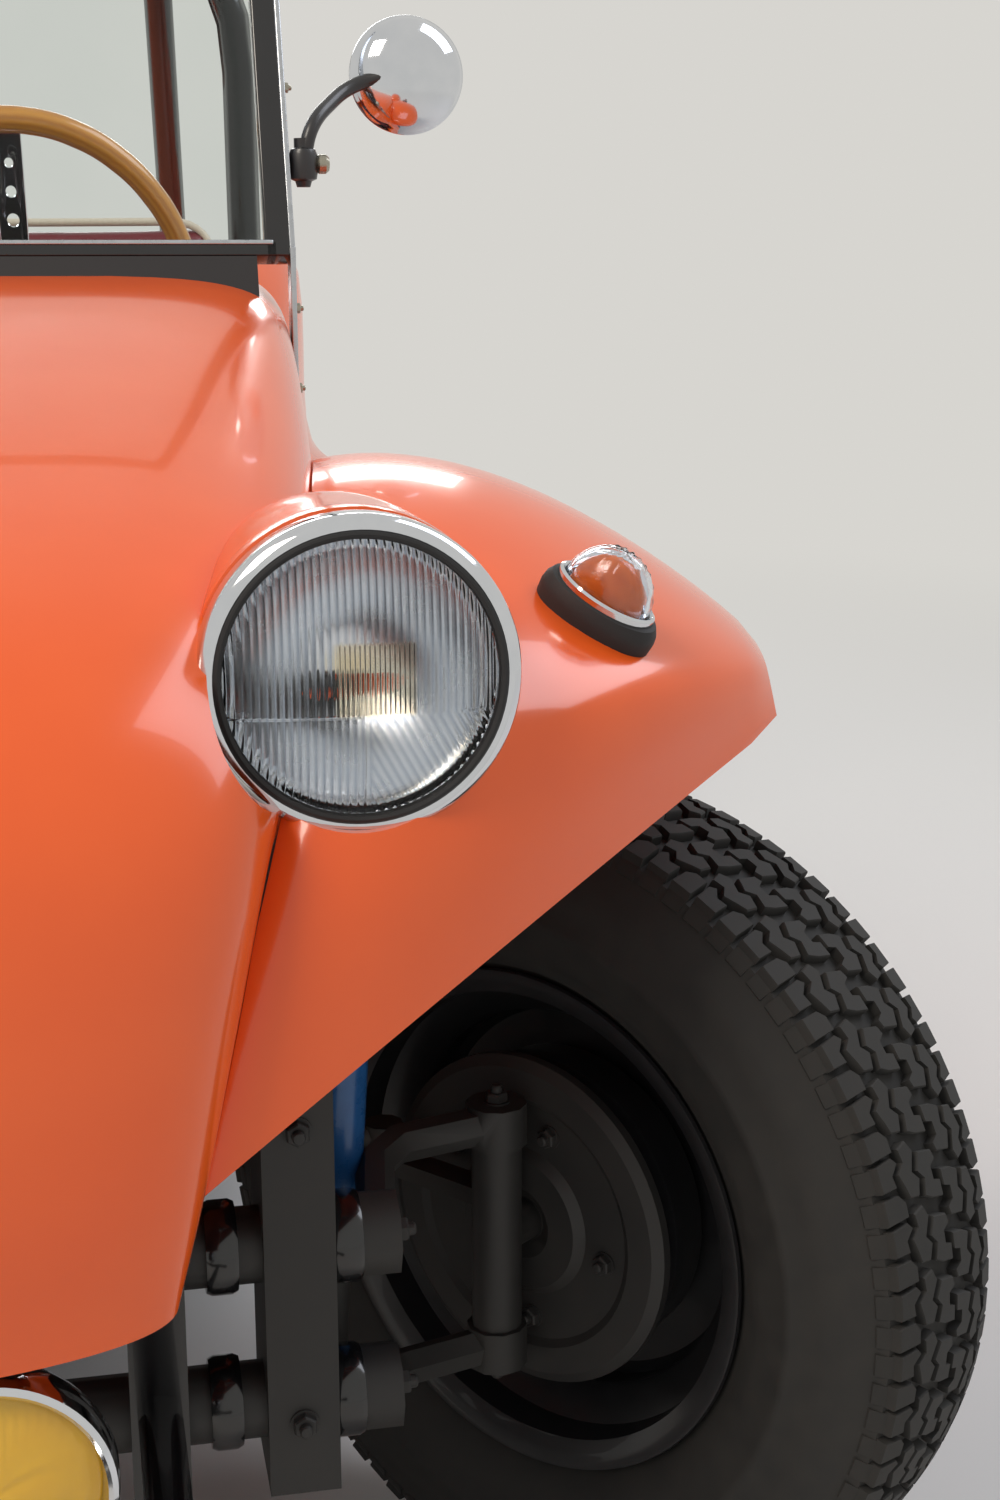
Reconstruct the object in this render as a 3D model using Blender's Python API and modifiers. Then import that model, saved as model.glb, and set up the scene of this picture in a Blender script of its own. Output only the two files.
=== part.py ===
"""Dune buggy on a shortened saloon floor pan.

Moulded body panels over a backbone pan, twin-tube front axle with steered knuckles,
open cockpit with two bucket seats and an open flat-four engine behind the rear wheels.
Metres, +Z up, nose towards -Y, the driver's side at +X, the ground at Z = 0.
"""
import math

import bmesh
import bpy
from mathutils import Matrix, Vector

for old in list(bpy.data.objects):
    bpy.data.objects.remove(old, do_unlink=True)

PART = bpy.data.collections.new("dune_buggy")
CUTTERS = bpy.data.collections.new("dune_buggy_cutters")
bpy.context.scene.collection.children.link(PART)
bpy.context.scene.collection.children.link(CUTTERS)

# Driving sizes
WHEELBASE = 2.05
FRONT_AXLE_Y = -1.196
REAR_AXLE_Y = FRONT_AXLE_Y + WHEELBASE
FRONT_TYRE_RADIUS = 0.348
REAR_TYRE_RADIUS = 0.354
KINGPIN_X = 0.60
HUB_OFFSET = 0.10
REAR_WHEEL_X = 0.700
STEER_REST = math.radians(38.8)

# Clearances and allowances
FIT = 0.0004
SEAM = 0.0008
RUN = 0.006
OVERRUN = 0.03
MERGE = 0.00005

# Body skin
WALL = 0.006
COWL_HALF = 0.50
COWL_HEIGHT = 1.065
NOSE_Y = FRONT_AXLE_Y - 0.462
HOOD_LENGTH = 1.062
HOOD_TUCK = 0.030
FENDER_OUT = 0.80
FENDER_HEIGHT = 0.93
FENDER_SPAN = 0.50
FENDER_CROWN = 0.062
REAR_FENDER_OUT = 0.85
REAR_FENDER_HEIGHT = 1.19
REAR_FENDER_SPAN = 0.54
SIDE_HALF = 0.60
SIDE_HEIGHT = 0.96
SIDE_FRONT_Y = FRONT_AXLE_Y + 0.420
SIDE_LENGTH = 1.195
SIDE_ROLL = 0.045
DECK_HALF = 0.52
DECK_HEIGHT = 1.125
DECK_FRONT_Y = FRONT_AXLE_Y + 1.618
DECK_LENGTH = 0.765

# Floor pan
PAN_TOP = 0.308
PAN_SHEET = 0.008
TUNNEL_HALF = 0.068
TUNNEL_HEIGHT = 0.135


def paint(obj, colour, roughness, metallic=0.0, alpha=1.0):
    """Give an object a Principled material of its own."""
    finish = bpy.data.materials.new(obj.name + "_finish")
    finish.use_nodes = True
    shader = finish.node_tree.nodes["Principled BSDF"]
    shader.inputs["Base Color"].default_value = (*colour, 1.0)
    shader.inputs["Roughness"].default_value = roughness
    shader.inputs["Metallic"].default_value = metallic
    shader.inputs["Alpha"].default_value = alpha
    obj.data.materials.clear()
    obj.data.materials.append(finish)


ORANGE = ((0.86, 0.17, 0.045), 0.22)
BLACK_STEEL = ((0.02, 0.02, 0.022), 0.45, 0.3)
CHROME = ((0.8, 0.8, 0.82), 0.08, 1.0)
RUBBER = ((0.018, 0.018, 0.018), 0.85)
CLEAR = ((0.9, 0.95, 1.0), 0.02, 0.0, 0.35)
AMBER = ((0.9, 0.3, 0.05), 0.15)
YELLOW = ((0.9, 0.6, 0.03), 0.15)
RED = ((0.55, 0.01, 0.01), 0.2)
VINYL = ((0.09, 0.012, 0.014), 0.55)
WOOD = ((0.36, 0.17, 0.05), 0.3)
BLUE = ((0.02, 0.12, 0.35), 0.4)
CAST = ((0.16, 0.16, 0.165), 0.6, 0.6)


def link(obj):
    """Put an object in the part's collection."""
    PART.objects.link(obj)
    return obj


def from_bmesh(name, bm):
    mesh = bpy.data.meshes.new(name)
    bm.to_mesh(mesh)
    bm.free()
    return link(bpy.data.objects.new(name, mesh))


def bake(obj):
    """Turn an object's modifiers, or a curve, into a plain mesh in world space."""
    bpy.context.view_layer.update()
    graph = bpy.context.evaluated_depsgraph_get()
    mesh = bpy.data.meshes.new_from_object(obj.evaluated_get(graph))
    mesh.transform(obj.matrix_world)
    name = obj.name
    bpy.data.objects.remove(obj, do_unlink=True)
    bm = bmesh.new()
    bm.from_mesh(mesh)
    bmesh.ops.remove_doubles(bm, verts=bm.verts, dist=MERGE)
    bm.to_mesh(mesh)
    bm.free()
    mesh.name = name
    return link(bpy.data.objects.new(name, mesh))


def combine(target, operation, tools):
    """Join tools to an object, or cut them out of it, and drop the tools."""
    for tool in tools:
        PART.objects.unlink(tool)
        CUTTERS.objects.link(tool)
        tool.hide_render = True
        tool.display_type = "WIRE"
        step = target.modifiers.new(operation.lower(), "BOOLEAN")
        step.operation = operation
        step.solver = "EXACT"
        step.object = tool
    result = bake(target)
    for tool in tools:
        bpy.data.objects.remove(tool, do_unlink=True)
    return result


def fuse(target, *tools):
    return combine(target, "UNION", tools)


def cut(target, *tools):
    return combine(target, "DIFFERENCE", tools)


def without_offcuts(obj):
    """Keep the largest body of a trimmed panel and drop what the trimming cut off."""
    bm = bmesh.new()
    bm.from_mesh(obj.data)
    left = set(bm.verts)
    bodies = []
    while left:
        body, edge = set(), [left.pop()]
        while edge:
            vert = edge.pop()
            body.add(vert)
            for link_edge in vert.link_edges:
                other = link_edge.other_vert(vert)
                if other in left:
                    left.remove(other)
                    edge.append(other)
        bodies.append(body)
    bodies.sort(key=len)
    for body in bodies[:-1]:
        bmesh.ops.delete(bm, geom=list(body), context="VERTS")
    bm.to_mesh(obj.data)
    bm.free()
    return obj


def rename(obj, name, finish):
    """Give a finished piece its name, smooth shading and paint."""
    obj.name = name
    obj.data.name = name
    obj.data.shade_smooth()
    obj.data.set_sharp_from_angle(angle=math.radians(35))
    paint(obj, *finish)
    return obj


def mirrored(source, name, finish):
    """The same piece for the other side of the car."""
    mesh = source.data.copy()
    mesh.transform(Matrix.Diagonal((-1.0, 1.0, 1.0, 1.0)))
    mesh.flip_normals()
    obj = link(bpy.data.objects.new(name, mesh))
    return rename(obj, name, finish)


def copied(source):
    """A loose copy of a piece, to cut another with."""
    return link(bpy.data.objects.new(source.name, source.data.copy()))


def box(size, centre, bevel=0.0, turn=None):
    """A block of a given size, its edges rounded by bevel, turned about its centre."""
    bm = bmesh.new()
    bmesh.ops.create_cube(bm, size=1.0)
    bmesh.ops.scale(bm, vec=size, verts=bm.verts)
    if bevel:
        bmesh.ops.bevel(bm, geom=bm.edges[:], offset=bevel, segments=2, profile=0.5,
                        affect="EDGES")
    if turn:
        bmesh.ops.rotate(bm, cent=(0, 0, 0), matrix=turn, verts=bm.verts)
    bmesh.ops.translate(bm, vec=centre, verts=bm.verts)
    return from_bmesh("block", bm)


def rod(start, end, radius, sides=16, end_radius=None):
    """A round bar, or a cone, between two points."""
    start, end = Vector(start), Vector(end)
    axis = end - start
    bm = bmesh.new()
    bmesh.ops.create_cone(bm, cap_ends=True, cap_tris=False, segments=sides,
                          radius1=radius, radius2=end_radius if end_radius else radius,
                          depth=axis.length)
    turn = axis.to_track_quat("Z", "Y").to_matrix().to_4x4()
    place = Matrix.Translation((start + end) / 2) @ turn
    bmesh.ops.transform(bm, matrix=place, verts=bm.verts)
    return from_bmesh("rod", bm)


def turned(profile, place, steps=32):
    """A round piece: a (radius, height) profile run down its outer side, then placed."""
    mesh = bpy.data.meshes.new("turned")
    verts = [(radius, 0, height) for radius, height in profile]
    closed = profile[0][0] > 0 or profile[-1][0] > 0
    edges = [(i, i + 1) for i in range(len(verts) - 1)]
    if closed:
        edges.append((len(verts) - 1, 0))
    mesh.from_pydata(verts, edges, [])
    obj = link(bpy.data.objects.new("turned", mesh))
    screw = obj.modifiers.new("turn", "SCREW")
    screw.axis = "Z"
    screw.steps = steps
    screw.render_steps = steps
    screw.use_merge_vertices = True
    screw.merge_threshold = MERGE
    obj.matrix_world = place
    return bake(obj)


def pipe(points, radius, sides=3, closed=False):
    """A bent tube through points, as a filled bevelled curve made a mesh."""
    curve = bpy.data.curves.new("pipe", "CURVE")
    curve.dimensions = "3D"
    curve.bevel_depth = radius
    curve.bevel_resolution = sides
    curve.use_fill_caps = not closed
    spline = curve.splines.new("POLY")
    spline.points.add(len(points) - 1)
    for point, spot in zip(spline.points, points):
        point.co = (*spot, 1.0)
    spline.use_cyclic_u = closed
    obj = link(bpy.data.objects.new("pipe", curve))
    return bake(obj)


def rounded(points, radius, steps=4):
    """The corners of a run of points turned into arcs of one radius."""
    spots = [Vector(point) for point in points]
    path = [spots[0]]
    for before, corner, after in zip(spots, spots[1:], spots[2:]):
        back, ahead = (before - corner).normalized(), (after - corner).normalized()
        half = back.angle(ahead) / 2
        reach = min(radius / math.tan(half), (before - corner).length / 2,
                    (after - corner).length / 2)
        start, end = corner + back * reach, corner + ahead * reach
        for step in range(steps + 1):
            t = step / steps
            path.append(start.lerp(corner, t).lerp(corner.lerp(end, t), t))
    path.append(spots[-1])
    return path


def plate(outline, thickness, place):
    """A flat sheet cut to an outline of (x, y) points, extruded about its middle plane."""
    curve = bpy.data.curves.new("plate", "CURVE")
    curve.dimensions = "2D"
    curve.fill_mode = "BOTH"
    curve.extrude = thickness / 2
    spline = curve.splines.new("POLY")
    spline.points.add(len(outline) - 1)
    for point, (x, y) in zip(spline.points, outline):
        point.co = (x, y, 0, 1.0)
    spline.use_cyclic_u = True
    obj = link(bpy.data.objects.new("plate", curve))
    obj.matrix_world = place
    return bake(obj)


def eased(rows):
    """The rows with one more between each pair, on smooth curves through them all."""
    spots = [[Vector(point) for point in row] for row in rows]
    last = len(spots) - 1
    result = []
    for i in range(last):
        before, after = spots[max(i - 1, 0)], spots[min(i + 2, last)]
        middle = [(b + c) * 9 / 16 - (a + d) / 16
                  for a, b, c, d in zip(before, spots[i], spots[i + 1], after)]
        result += [spots[i], middle]
    return result + [spots[-1]]


def skin(rows, inside, outward, inward, mirror=False):
    """A moulded sheet lofted through rows of points and thickened.

    The sheet runs from outward in front of the rows' surface to inward behind it,
    and inside is a point on its hollow side.
    """
    bm = bmesh.new()
    grid = [[bm.verts.new(point) for point in row] for row in eased(rows)]
    for lower, upper in zip(grid, grid[1:]):
        for a, b, c, d in zip(lower, lower[1:], upper[1:], upper):
            bm.faces.new((a, b, c, d))
    bm.normal_update()
    facing = sum((face.normal.dot(face.calc_center_median() - Vector(inside))
                  for face in bm.faces))
    if facing < 0:
        bmesh.ops.reverse_faces(bm, faces=bm.faces)
    bmesh.ops.triangulate(bm, faces=bm.faces, quad_method="FIXED")
    obj = from_bmesh("skin", bm)
    if mirror:
        half = obj.modifiers.new("other half", "MIRROR")
        half.use_clip = True
        half.merge_threshold = MERGE
    wall = obj.modifiers.new("wall", "SOLIDIFY")
    wall.thickness = outward + inward
    wall.offset = (outward - inward) / (outward + inward)
    wall.use_even_offset = True
    return bake(obj)


# Hood and nose
# columns: centre back, centre height, edge out, edge back, edge height (shares of the
# hood's length, the cowl's height and its half width), squareness, tuck angle
HOOD_SHARES = (
    (0.009, 0.481, 0.670, 0.054, 0.498, 0.80, 0),
    (0.000, 0.563, 0.704, 0.070, 0.549, 0.75, 0),
    (0.009, 0.657, 0.750, 0.104, 0.624, 0.70, 0),
    (0.044, 0.751, 0.796, 0.138, 0.700, 0.65, 20),
    (0.120, 0.826, 0.850, 0.214, 0.751, 0.58, 60),
    (0.247, 0.885, 0.900, 0.322, 0.784, 0.50, 90),
    (0.482, 0.950, 0.956, 0.510, 0.809, 0.38, 90),
    (0.812, 1.020, 1.000, 0.812, 0.840, 0.22, 90),
    (1.000, 1.032, 1.012, 1.000, 0.845, 0.20, 90),
)
HOOD_STEPS = 4


def arch_row(centre_y, centre_z, edge_x, edge_y, edge_z, square):
    """Half a crowned section from the centre line to its edge."""
    row = []
    for step in range(HOOD_STEPS + 1):
        turn = math.pi / 2 * step / HOOD_STEPS
        out = math.sin(turn) ** square
        drop = 1 - math.cos(turn) ** square if step < HOOD_STEPS else 1.0
        row.append((edge_x * out, centre_y + (edge_y - centre_y) * drop,
                    centre_z + (edge_z - centre_z) * drop))
    return row


def hood_rows():
    rows = []
    for back, up, out, edge_back, edge_up, square, tuck in HOOD_SHARES:
        row = arch_row(NOSE_Y + back * HOOD_LENGTH, up * COWL_HEIGHT, out * COWL_HALF,
                       NOSE_Y + edge_back * HOOD_LENGTH, edge_up * COWL_HEIGHT, square)
        x, y, z = row[-1]
        turn = math.radians(tuck)
        row.append((x, y + HOOD_TUCK * math.cos(turn), z - HOOD_TUCK * math.sin(turn)))
        rows.append(row)
    return rows


HOOD_INSIDE = (0, FRONT_AXLE_Y, COWL_HEIGHT / 2)

# Headlamps
LAMP_CENTRE = Vector((0.459, FRONT_AXLE_Y - 0.298, 0.859))
LAMP_RADIUS = 0.096
LAMP_RIM_DEPTH = 0.032
LAMP_BOWL_RADIUS = 0.086
LAMP_BOWL_DEPTH = 0.120
LAMP_TAIL_RADIUS = 0.060
LENS_RADIUS = 0.083
LENS_CROWN = 0.016
LENS_EDGE = 0.006
LAMP_STEPS = 20
FORWARD = Matrix.Rotation(math.pi / 2, 4, "X")


def headlamp():
    """A deep chromed bowl whose rolled rim holds the lens."""
    lip = LAMP_RADIUS - LENS_RADIUS
    middle = -LAMP_BOWL_DEPTH / 2
    floor = -LAMP_BOWL_DEPTH + WALL
    inner = [(0.0, floor), (LAMP_TAIL_RADIUS - WALL, floor), (LENS_RADIUS - lip, middle),
             (LENS_RADIUS, -LAMP_RIM_DEPTH)]
    rim_edge = [(LENS_RADIUS, 0.0), (LENS_RADIUS + lip / 2, LENS_EDGE),
                (LAMP_RADIUS - lip / 4, LENS_EDGE), (LAMP_RADIUS, 0.0)]
    outer = [(LAMP_RADIUS, -LAMP_RIM_DEPTH / 2), (LAMP_BOWL_RADIUS, -LAMP_RIM_DEPTH),
             (LAMP_BOWL_RADIUS - lip / 2, middle), (LAMP_TAIL_RADIUS, -LAMP_BOWL_DEPTH),
             (0.0, -LAMP_BOWL_DEPTH)]
    place = Matrix.Translation(LAMP_CENTRE) @ FORWARD
    return turned(inner + rim_edge + outer, place, LAMP_STEPS)


def headlamp_lens():
    """A crowned glass disc standing in the rim."""
    radius = LENS_RADIUS - FIT
    rings = 3
    crown = [(radius * math.sin(t), LENS_CROWN * math.cos(t))
             for t in [math.pi / 2 * i / rings for i in range(rings + 1)]]
    profile = crown + [(radius, -LENS_EDGE), (0.0, -LENS_EDGE)]
    place = Matrix.Translation(LAMP_CENTRE) @ FORWARD
    return turned(profile, place, LAMP_STEPS)


def lamp_bore(clearance, side=1):
    """Cutter for the lamp's seat in the body: its rim and its bowl, enlarged."""
    centre = Vector((side * LAMP_CENTRE.x, LAMP_CENTRE.y, LAMP_CENTRE.z))
    step = centre + Vector((0, LAMP_RIM_DEPTH + clearance, 0))
    back = centre + Vector((0, LAMP_BOWL_DEPTH + clearance, 0))
    front = centre - Vector((0, LAMP_RADIUS, 0))
    return fuse(rod(front, step, LAMP_RADIUS + clearance, LAMP_STEPS),
                rod(centre, back, LAMP_BOWL_RADIUS + clearance, LAMP_STEPS))


# Front fender rows, from the skirt's lower edge over the wheel to the sill
# columns: inner x, y, z; outer x, y, z (x of the fender's reach out, y of its span
# about the axle, z of its height); crown forward and up (of its crown)
FENDER_SHARES = (
    ((0.425, -0.772, 0.616), (0.990, -0.165, 0.828), (-0.58, 0.32)),
    ((0.500, -0.624, 0.801), (0.984, -0.148, 0.862), (-1.00, 0.40)),
    ((0.519, -0.556, 0.856), (0.986, -0.118, 0.872), (-1.06, 0.46)),
    ((0.530, -0.300, 0.930), (0.998, 0.010, 0.880), (-0.48, 0.89)),
    ((0.560, 0.040, 0.995), (1.004, 0.160, 0.873), (0.00, 1.00)),
    ((0.595, 0.400, 1.000), (1.008, 0.440, 0.833), (0.00, 1.00)),
    ((0.612, 0.720, 0.952), (1.008, 0.740, 0.715), (0.48, 0.81)),
    ((0.625, 0.940, 0.801), (1.000, 0.930, 0.538), (0.73, 0.32)),
    ((0.650, 1.090, 0.580), (0.962, 1.050, 0.376), (0.48, 0.00)),
    ((0.655, 1.150, 0.365), (0.925, 1.090, 0.344), (0.32, 0.00)),
)
# Rear fender stations, from the sill over the wheel to the tail
# columns: place along the fender (of its span about the axle); then x and z of the
# inner edge, crest, shoulder, waist, flare and lip (of its reach out and its height)
REAR_FENDER_SHARES = (
    (-1.00, (0.580, 0.620, 0.650, 0.690, 0.720, 0.745), (0.700, 0.640, 0.560, 0.450, 0.345, 0.250)),
    (-0.80, (0.560, 0.640, 0.700, 0.735, 0.780, 0.850), (0.790, 0.800, 0.710, 0.570, 0.450, 0.395)),
    (-0.52, (0.540, 0.660, 0.745, 0.785, 0.850, 0.955), (0.850, 0.915, 0.850, 0.655, 0.590, 0.560)),
    (-0.20, (0.530, 0.665, 0.785, 0.820, 0.880, 0.995), (0.860, 0.975, 0.930, 0.680, 0.638, 0.612)),
    (0.10, (0.525, 0.665, 0.795, 0.825, 0.885, 1.000), (0.860, 0.975, 0.935, 0.680, 0.638, 0.612)),
    (0.42, (0.520, 0.655, 0.770, 0.805, 0.870, 0.975), (0.820, 0.915, 0.870, 0.670, 0.618, 0.588)),
    (0.72, (0.510, 0.615, 0.705, 0.750, 0.815, 0.900), (0.740, 0.790, 0.745, 0.620, 0.570, 0.540)),
    (0.92, (0.490, 0.550, 0.620, 0.675, 0.730, 0.785), (0.660, 0.670, 0.640, 0.570, 0.535, 0.515)),
)
FENDER_STEPS = 5
BULGE = 0.7


def fender_rows(table, axle_y, out, span, height, crown):
    """Bowed rows across a fender, each from the body side to the outer lip."""
    rows = []
    for inner, outer, bow in table:
        start = Vector((inner[0] * out, axle_y + inner[1] * span, inner[2] * height))
        end = Vector((outer[0] * out, axle_y + outer[1] * span, outer[2] * height))
        lift = Vector((0, bow[0], bow[1])) * crown
        row = []
        for step in range(FENDER_STEPS + 1):
            t = step / FENDER_STEPS
            row.append(start.lerp(end, t) + lift * math.sin(math.pi * t) ** BULGE)
        rows.append(row)
    return rows


def front_fender_rows():
    return fender_rows(FENDER_SHARES, FRONT_AXLE_Y, FENDER_OUT, FENDER_SPAN,
                       FENDER_HEIGHT, FENDER_CROWN)


def rear_fender_rows():
    rows = []
    for along, outs, ups in REAR_FENDER_SHARES:
        y = REAR_AXLE_Y + along * REAR_FENDER_SPAN
        rows.append([Vector((out * REAR_FENDER_OUT, y, up * REAR_FENDER_HEIGHT))
                     for out, up in zip(outs, ups)])
    return rows


FENDER_INSIDE = (KINGPIN_X, FRONT_AXLE_Y, FRONT_TYRE_RADIUS)
REAR_FENDER_INSIDE = (REAR_WHEEL_X, REAR_AXLE_Y, REAR_TYRE_RADIUS)

# Cockpit side: one station for each line
# columns: back (of the side's length); top x, z, sill x, z, bottom x, z (x of the side's
# half width, z of its height)
SIDE_SHARES = (
    (0.000, 0.833, 0.888, 0.858, 0.625, 0.833, 0.375),
    (0.120, 0.847, 0.888, 0.900, 0.604, 0.883, 0.344),
    (0.270, 0.900, 0.802, 0.975, 0.563, 0.967, 0.330),
    (0.445, 0.933, 0.688, 1.017, 0.521, 1.000, 0.324),
    (0.695, 0.933, 0.677, 1.017, 0.521, 1.000, 0.324),
    (0.860, 0.913, 0.792, 1.000, 0.542, 0.983, 0.328),
    (1.000, 0.883, 1.000, 0.967, 0.573, 0.950, 0.333),
)


def side_rows():
    rows = []
    for back, top_x, top_z, sill_x, sill_z, low_x, low_z in SIDE_SHARES:
        y = SIDE_FRONT_Y + back * SIDE_LENGTH
        top = Vector((top_x * SIDE_HALF, y, top_z * SIDE_HEIGHT))
        sill = Vector((sill_x * SIDE_HALF, y, sill_z * SIDE_HEIGHT))
        low = Vector((low_x * SIDE_HALF, y, low_z * SIDE_HEIGHT))
        rows.append([top - Vector((SIDE_ROLL, 0, SIDE_ROLL / 4)), top,
                     top.lerp(sill, 0.4), sill, low])
    return rows


SIDE_INSIDE = (0, SIDE_FRONT_Y + SIDE_LENGTH / 2, SIDE_HEIGHT / 2)

# Rear deck: columns as the hood's, of the deck's length, height and half width
DECK_SHARES = (
    (0.000, 0.950, 0.985, 0.000, 0.330, 0.34),
    (0.130, 0.980, 1.000, 0.130, 0.330, 0.35),
    (0.370, 1.000, 1.000, 0.370, 0.540, 0.38),
    (0.600, 0.982, 0.971, 0.600, 0.640, 0.40),
    (0.830, 0.925, 0.923, 0.830, 0.650, 0.45),
    (1.000, 0.860, 0.885, 1.000, 0.640, 0.50),
)


def deck_rows():
    rows = []
    for back, up, out, edge_back, edge_up, square in DECK_SHARES:
        rows.append(arch_row(DECK_FRONT_Y + back * DECK_LENGTH, up * DECK_HEIGHT,
                             out * DECK_HALF, DECK_FRONT_Y + edge_back * DECK_LENGTH,
                             edge_up * DECK_HEIGHT, square))
    return rows


DECK_INSIDE = (0, DECK_FRONT_Y + DECK_LENGTH / 2, DECK_HEIGHT / 2)
KEEP_DEPTH = 0.035

# Roll-bar hoop, standing on the pan just inside the cockpit sides
HOOP_Y = FRONT_AXLE_Y + 1.580
HOOP_HALF = 0.500
HOOP_TOP = 1.500
HOOP_RADIUS = 0.021
HOOP_BEND = 0.140


def hoop_bore():
    """Cutter for the hoop's left upright."""
    return rod((HOOP_HALF, HOOP_Y, PAN_TOP), (HOOP_HALF, HOOP_Y, HOOP_TOP),
               HOOP_RADIUS + 2 * SEAM, 16)


def lengthened(row, reach):
    """A run of points with both ends drawn out along its own line."""
    spots = [Vector(point) for point in row]
    first = spots[0] + (spots[0] - spots[1]).normalized() * reach
    last = spots[-1] + (spots[-1] - spots[-2]).normalized() * reach
    return [first] + spots[1:-1] + [last]


def keep_out(rows, inside, mirror):
    """The space a panel takes, a little larger all round."""
    if mirror:
        wide = [row[:1] + lengthened(row, 2 * SEAM)[1:] for row in rows]
    else:
        wide = [lengthened(row, 2 * SEAM) for row in rows]
    columns = [lengthened(column, 2 * SEAM) for column in zip(*wide)]
    return skin(list(zip(*columns)), inside, SEAM, WALL + SEAM, mirror)


def build_body():
    """Hood, fenders, cockpit sides and rear deck, each trimmed to what it meets."""
    hood = skin(hood_rows(), HOOD_INSIDE, 0.0, WALL, True)
    hood = cut(hood, lamp_bore(FIT), lamp_bore(FIT, -1))
    rename(without_offcuts(hood), "hood_panel", ORANGE)

    fender = skin(front_fender_rows(), FENDER_INSIDE, 0.0, WALL)
    fender = cut(fender, keep_out(hood_rows(), HOOD_INSIDE, True),
                 keep_out(side_rows(), SIDE_INSIDE, False), lamp_bore(FIT))
    rename(without_offcuts(fender), "front_fender_left", ORANGE)
    mirrored(fender, "front_fender_right", ORANGE)

    side = cut(skin(side_rows(), SIDE_INSIDE, 0.0, WALL), hoop_bore())
    rename(side, "body_side_left", ORANGE)
    mirrored(side, "body_side_right", ORANGE)

    deck = skin(deck_rows(), DECK_INSIDE, 0.0, WALL, True)
    rename(deck, "rear_deck", ORANGE)

    rear = skin(rear_fender_rows(), REAR_FENDER_INSIDE, 0.0, WALL)
    rear = cut(rear, keep_out(deck_rows(), DECK_INSIDE, True),
               keep_out(side_rows(), SIDE_INSIDE, False), copied(side), hoop_bore())
    rename(without_offcuts(rear), "rear_fender_left", ORANGE)
    mirrored(rear, "rear_fender_right", ORANGE)


build_body()
lamp = rename(headlamp(), "headlamp_left", CHROME)
mirrored(lamp, "headlamp_right", CHROME)
lens = rename(headlamp_lens(), "headlamp_lens_left", CLEAR)
mirrored(lens, "headlamp_lens_right", CLEAR)


# Floor pan, backbone, rear horns and the posts that carry the rear dampers
# columns: half width, place along the pan (shares of the pan's half width and length)
BEAM_Y = FRONT_AXLE_Y - 0.130
TUBE_RADIUS = 0.027
PAN_HALF = 0.595
PAN_FRONT_Y = BEAM_Y + TUBE_RADIUS + FIT
PAN_LENGTH = 1.760
PAN_SHARES = (
    (0.200, 0.000), (0.250, 0.110), (0.560, 0.215), (0.760, 0.300), (0.960, 0.415),
    (1.000, 0.480), (1.000, 0.905), (0.930, 0.960), (0.500, 1.000),
)
TUNNEL_FRONT_Y = FRONT_AXLE_Y + 0.240
HEAD_HALF = 0.110
HEAD_HEIGHT = 0.045
TORSION_Y = FRONT_AXLE_Y + 1.720
TORSION_Z = 0.375
TORSION_RADIUS = 0.046
TORSION_HALF = 0.440
HORN_X = 0.190
HORN_RADIUS = 0.026
HORN_END_Y = REAR_AXLE_Y + 0.100
HORN_END_Z = 0.445
REAR_TOWER_RADIUS = 0.018
REAR_TOWER_TOP = Vector((0.385, REAR_AXLE_Y - 0.060, 0.710))
AXLE_TUBE_RADIUS = 0.030


def build_pan():
    """Pressed floor with its backbone tunnel, torsion tube and gearbox horns."""
    right = [(share_x * PAN_HALF, PAN_FRONT_Y + share_y * PAN_LENGTH)
             for share_x, share_y in PAN_SHARES]
    left = [(-x, y) for x, y in reversed(right)]
    floor = plate(right + left, PAN_SHEET, Matrix.Translation((0, 0, PAN_TOP - PAN_SHEET / 2)))
    tunnel_length = TORSION_Y - TUNNEL_FRONT_Y - TORSION_RADIUS / 2
    tunnel = box((2 * TUNNEL_HALF, tunnel_length, TUNNEL_HEIGHT + PAN_SHEET),
                 (0, TUNNEL_FRONT_Y + tunnel_length / 2, PAN_TOP + TUNNEL_HEIGHT / 2),
                 TUNNEL_HALF / 3)
    head_length = TUNNEL_FRONT_Y - PAN_FRONT_Y + OVERRUN
    head = box((2 * HEAD_HALF, head_length, HEAD_HEIGHT + PAN_SHEET / 2),
               (0, PAN_FRONT_Y + head_length / 2, PAN_TOP + HEAD_HEIGHT / 2 - PAN_SHEET / 4))
    torsion = rod((-TORSION_HALF, TORSION_Y, TORSION_Z), (TORSION_HALF, TORSION_Y, TORSION_Z),
                  TORSION_RADIUS, 16)
    horns = [rod((side * HORN_X / 2, TORSION_Y - TORSION_RADIUS / 3, TORSION_Z),
                 (side * HORN_X, HORN_END_Y, HORN_END_Z), HORN_RADIUS, 12) for side in (1, -1)]
    towers = []
    for side in (1, -1):
        base = Vector((side * REAR_TOWER_TOP.x, TORSION_Y, TORSION_Z))
        top = Vector((side * REAR_TOWER_TOP.x, REAR_TOWER_TOP.y, REAR_TOWER_TOP.z))
        towers.append(rod(base, top + (top - base).normalized() * REAR_TOWER_RADIUS,
                          REAR_TOWER_RADIUS, 12))
    pan = fuse(floor, head, tunnel, torsion, *horns, *towers)
    rename(pan, "floor_pan", BLACK_STEEL)


build_pan()

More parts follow.
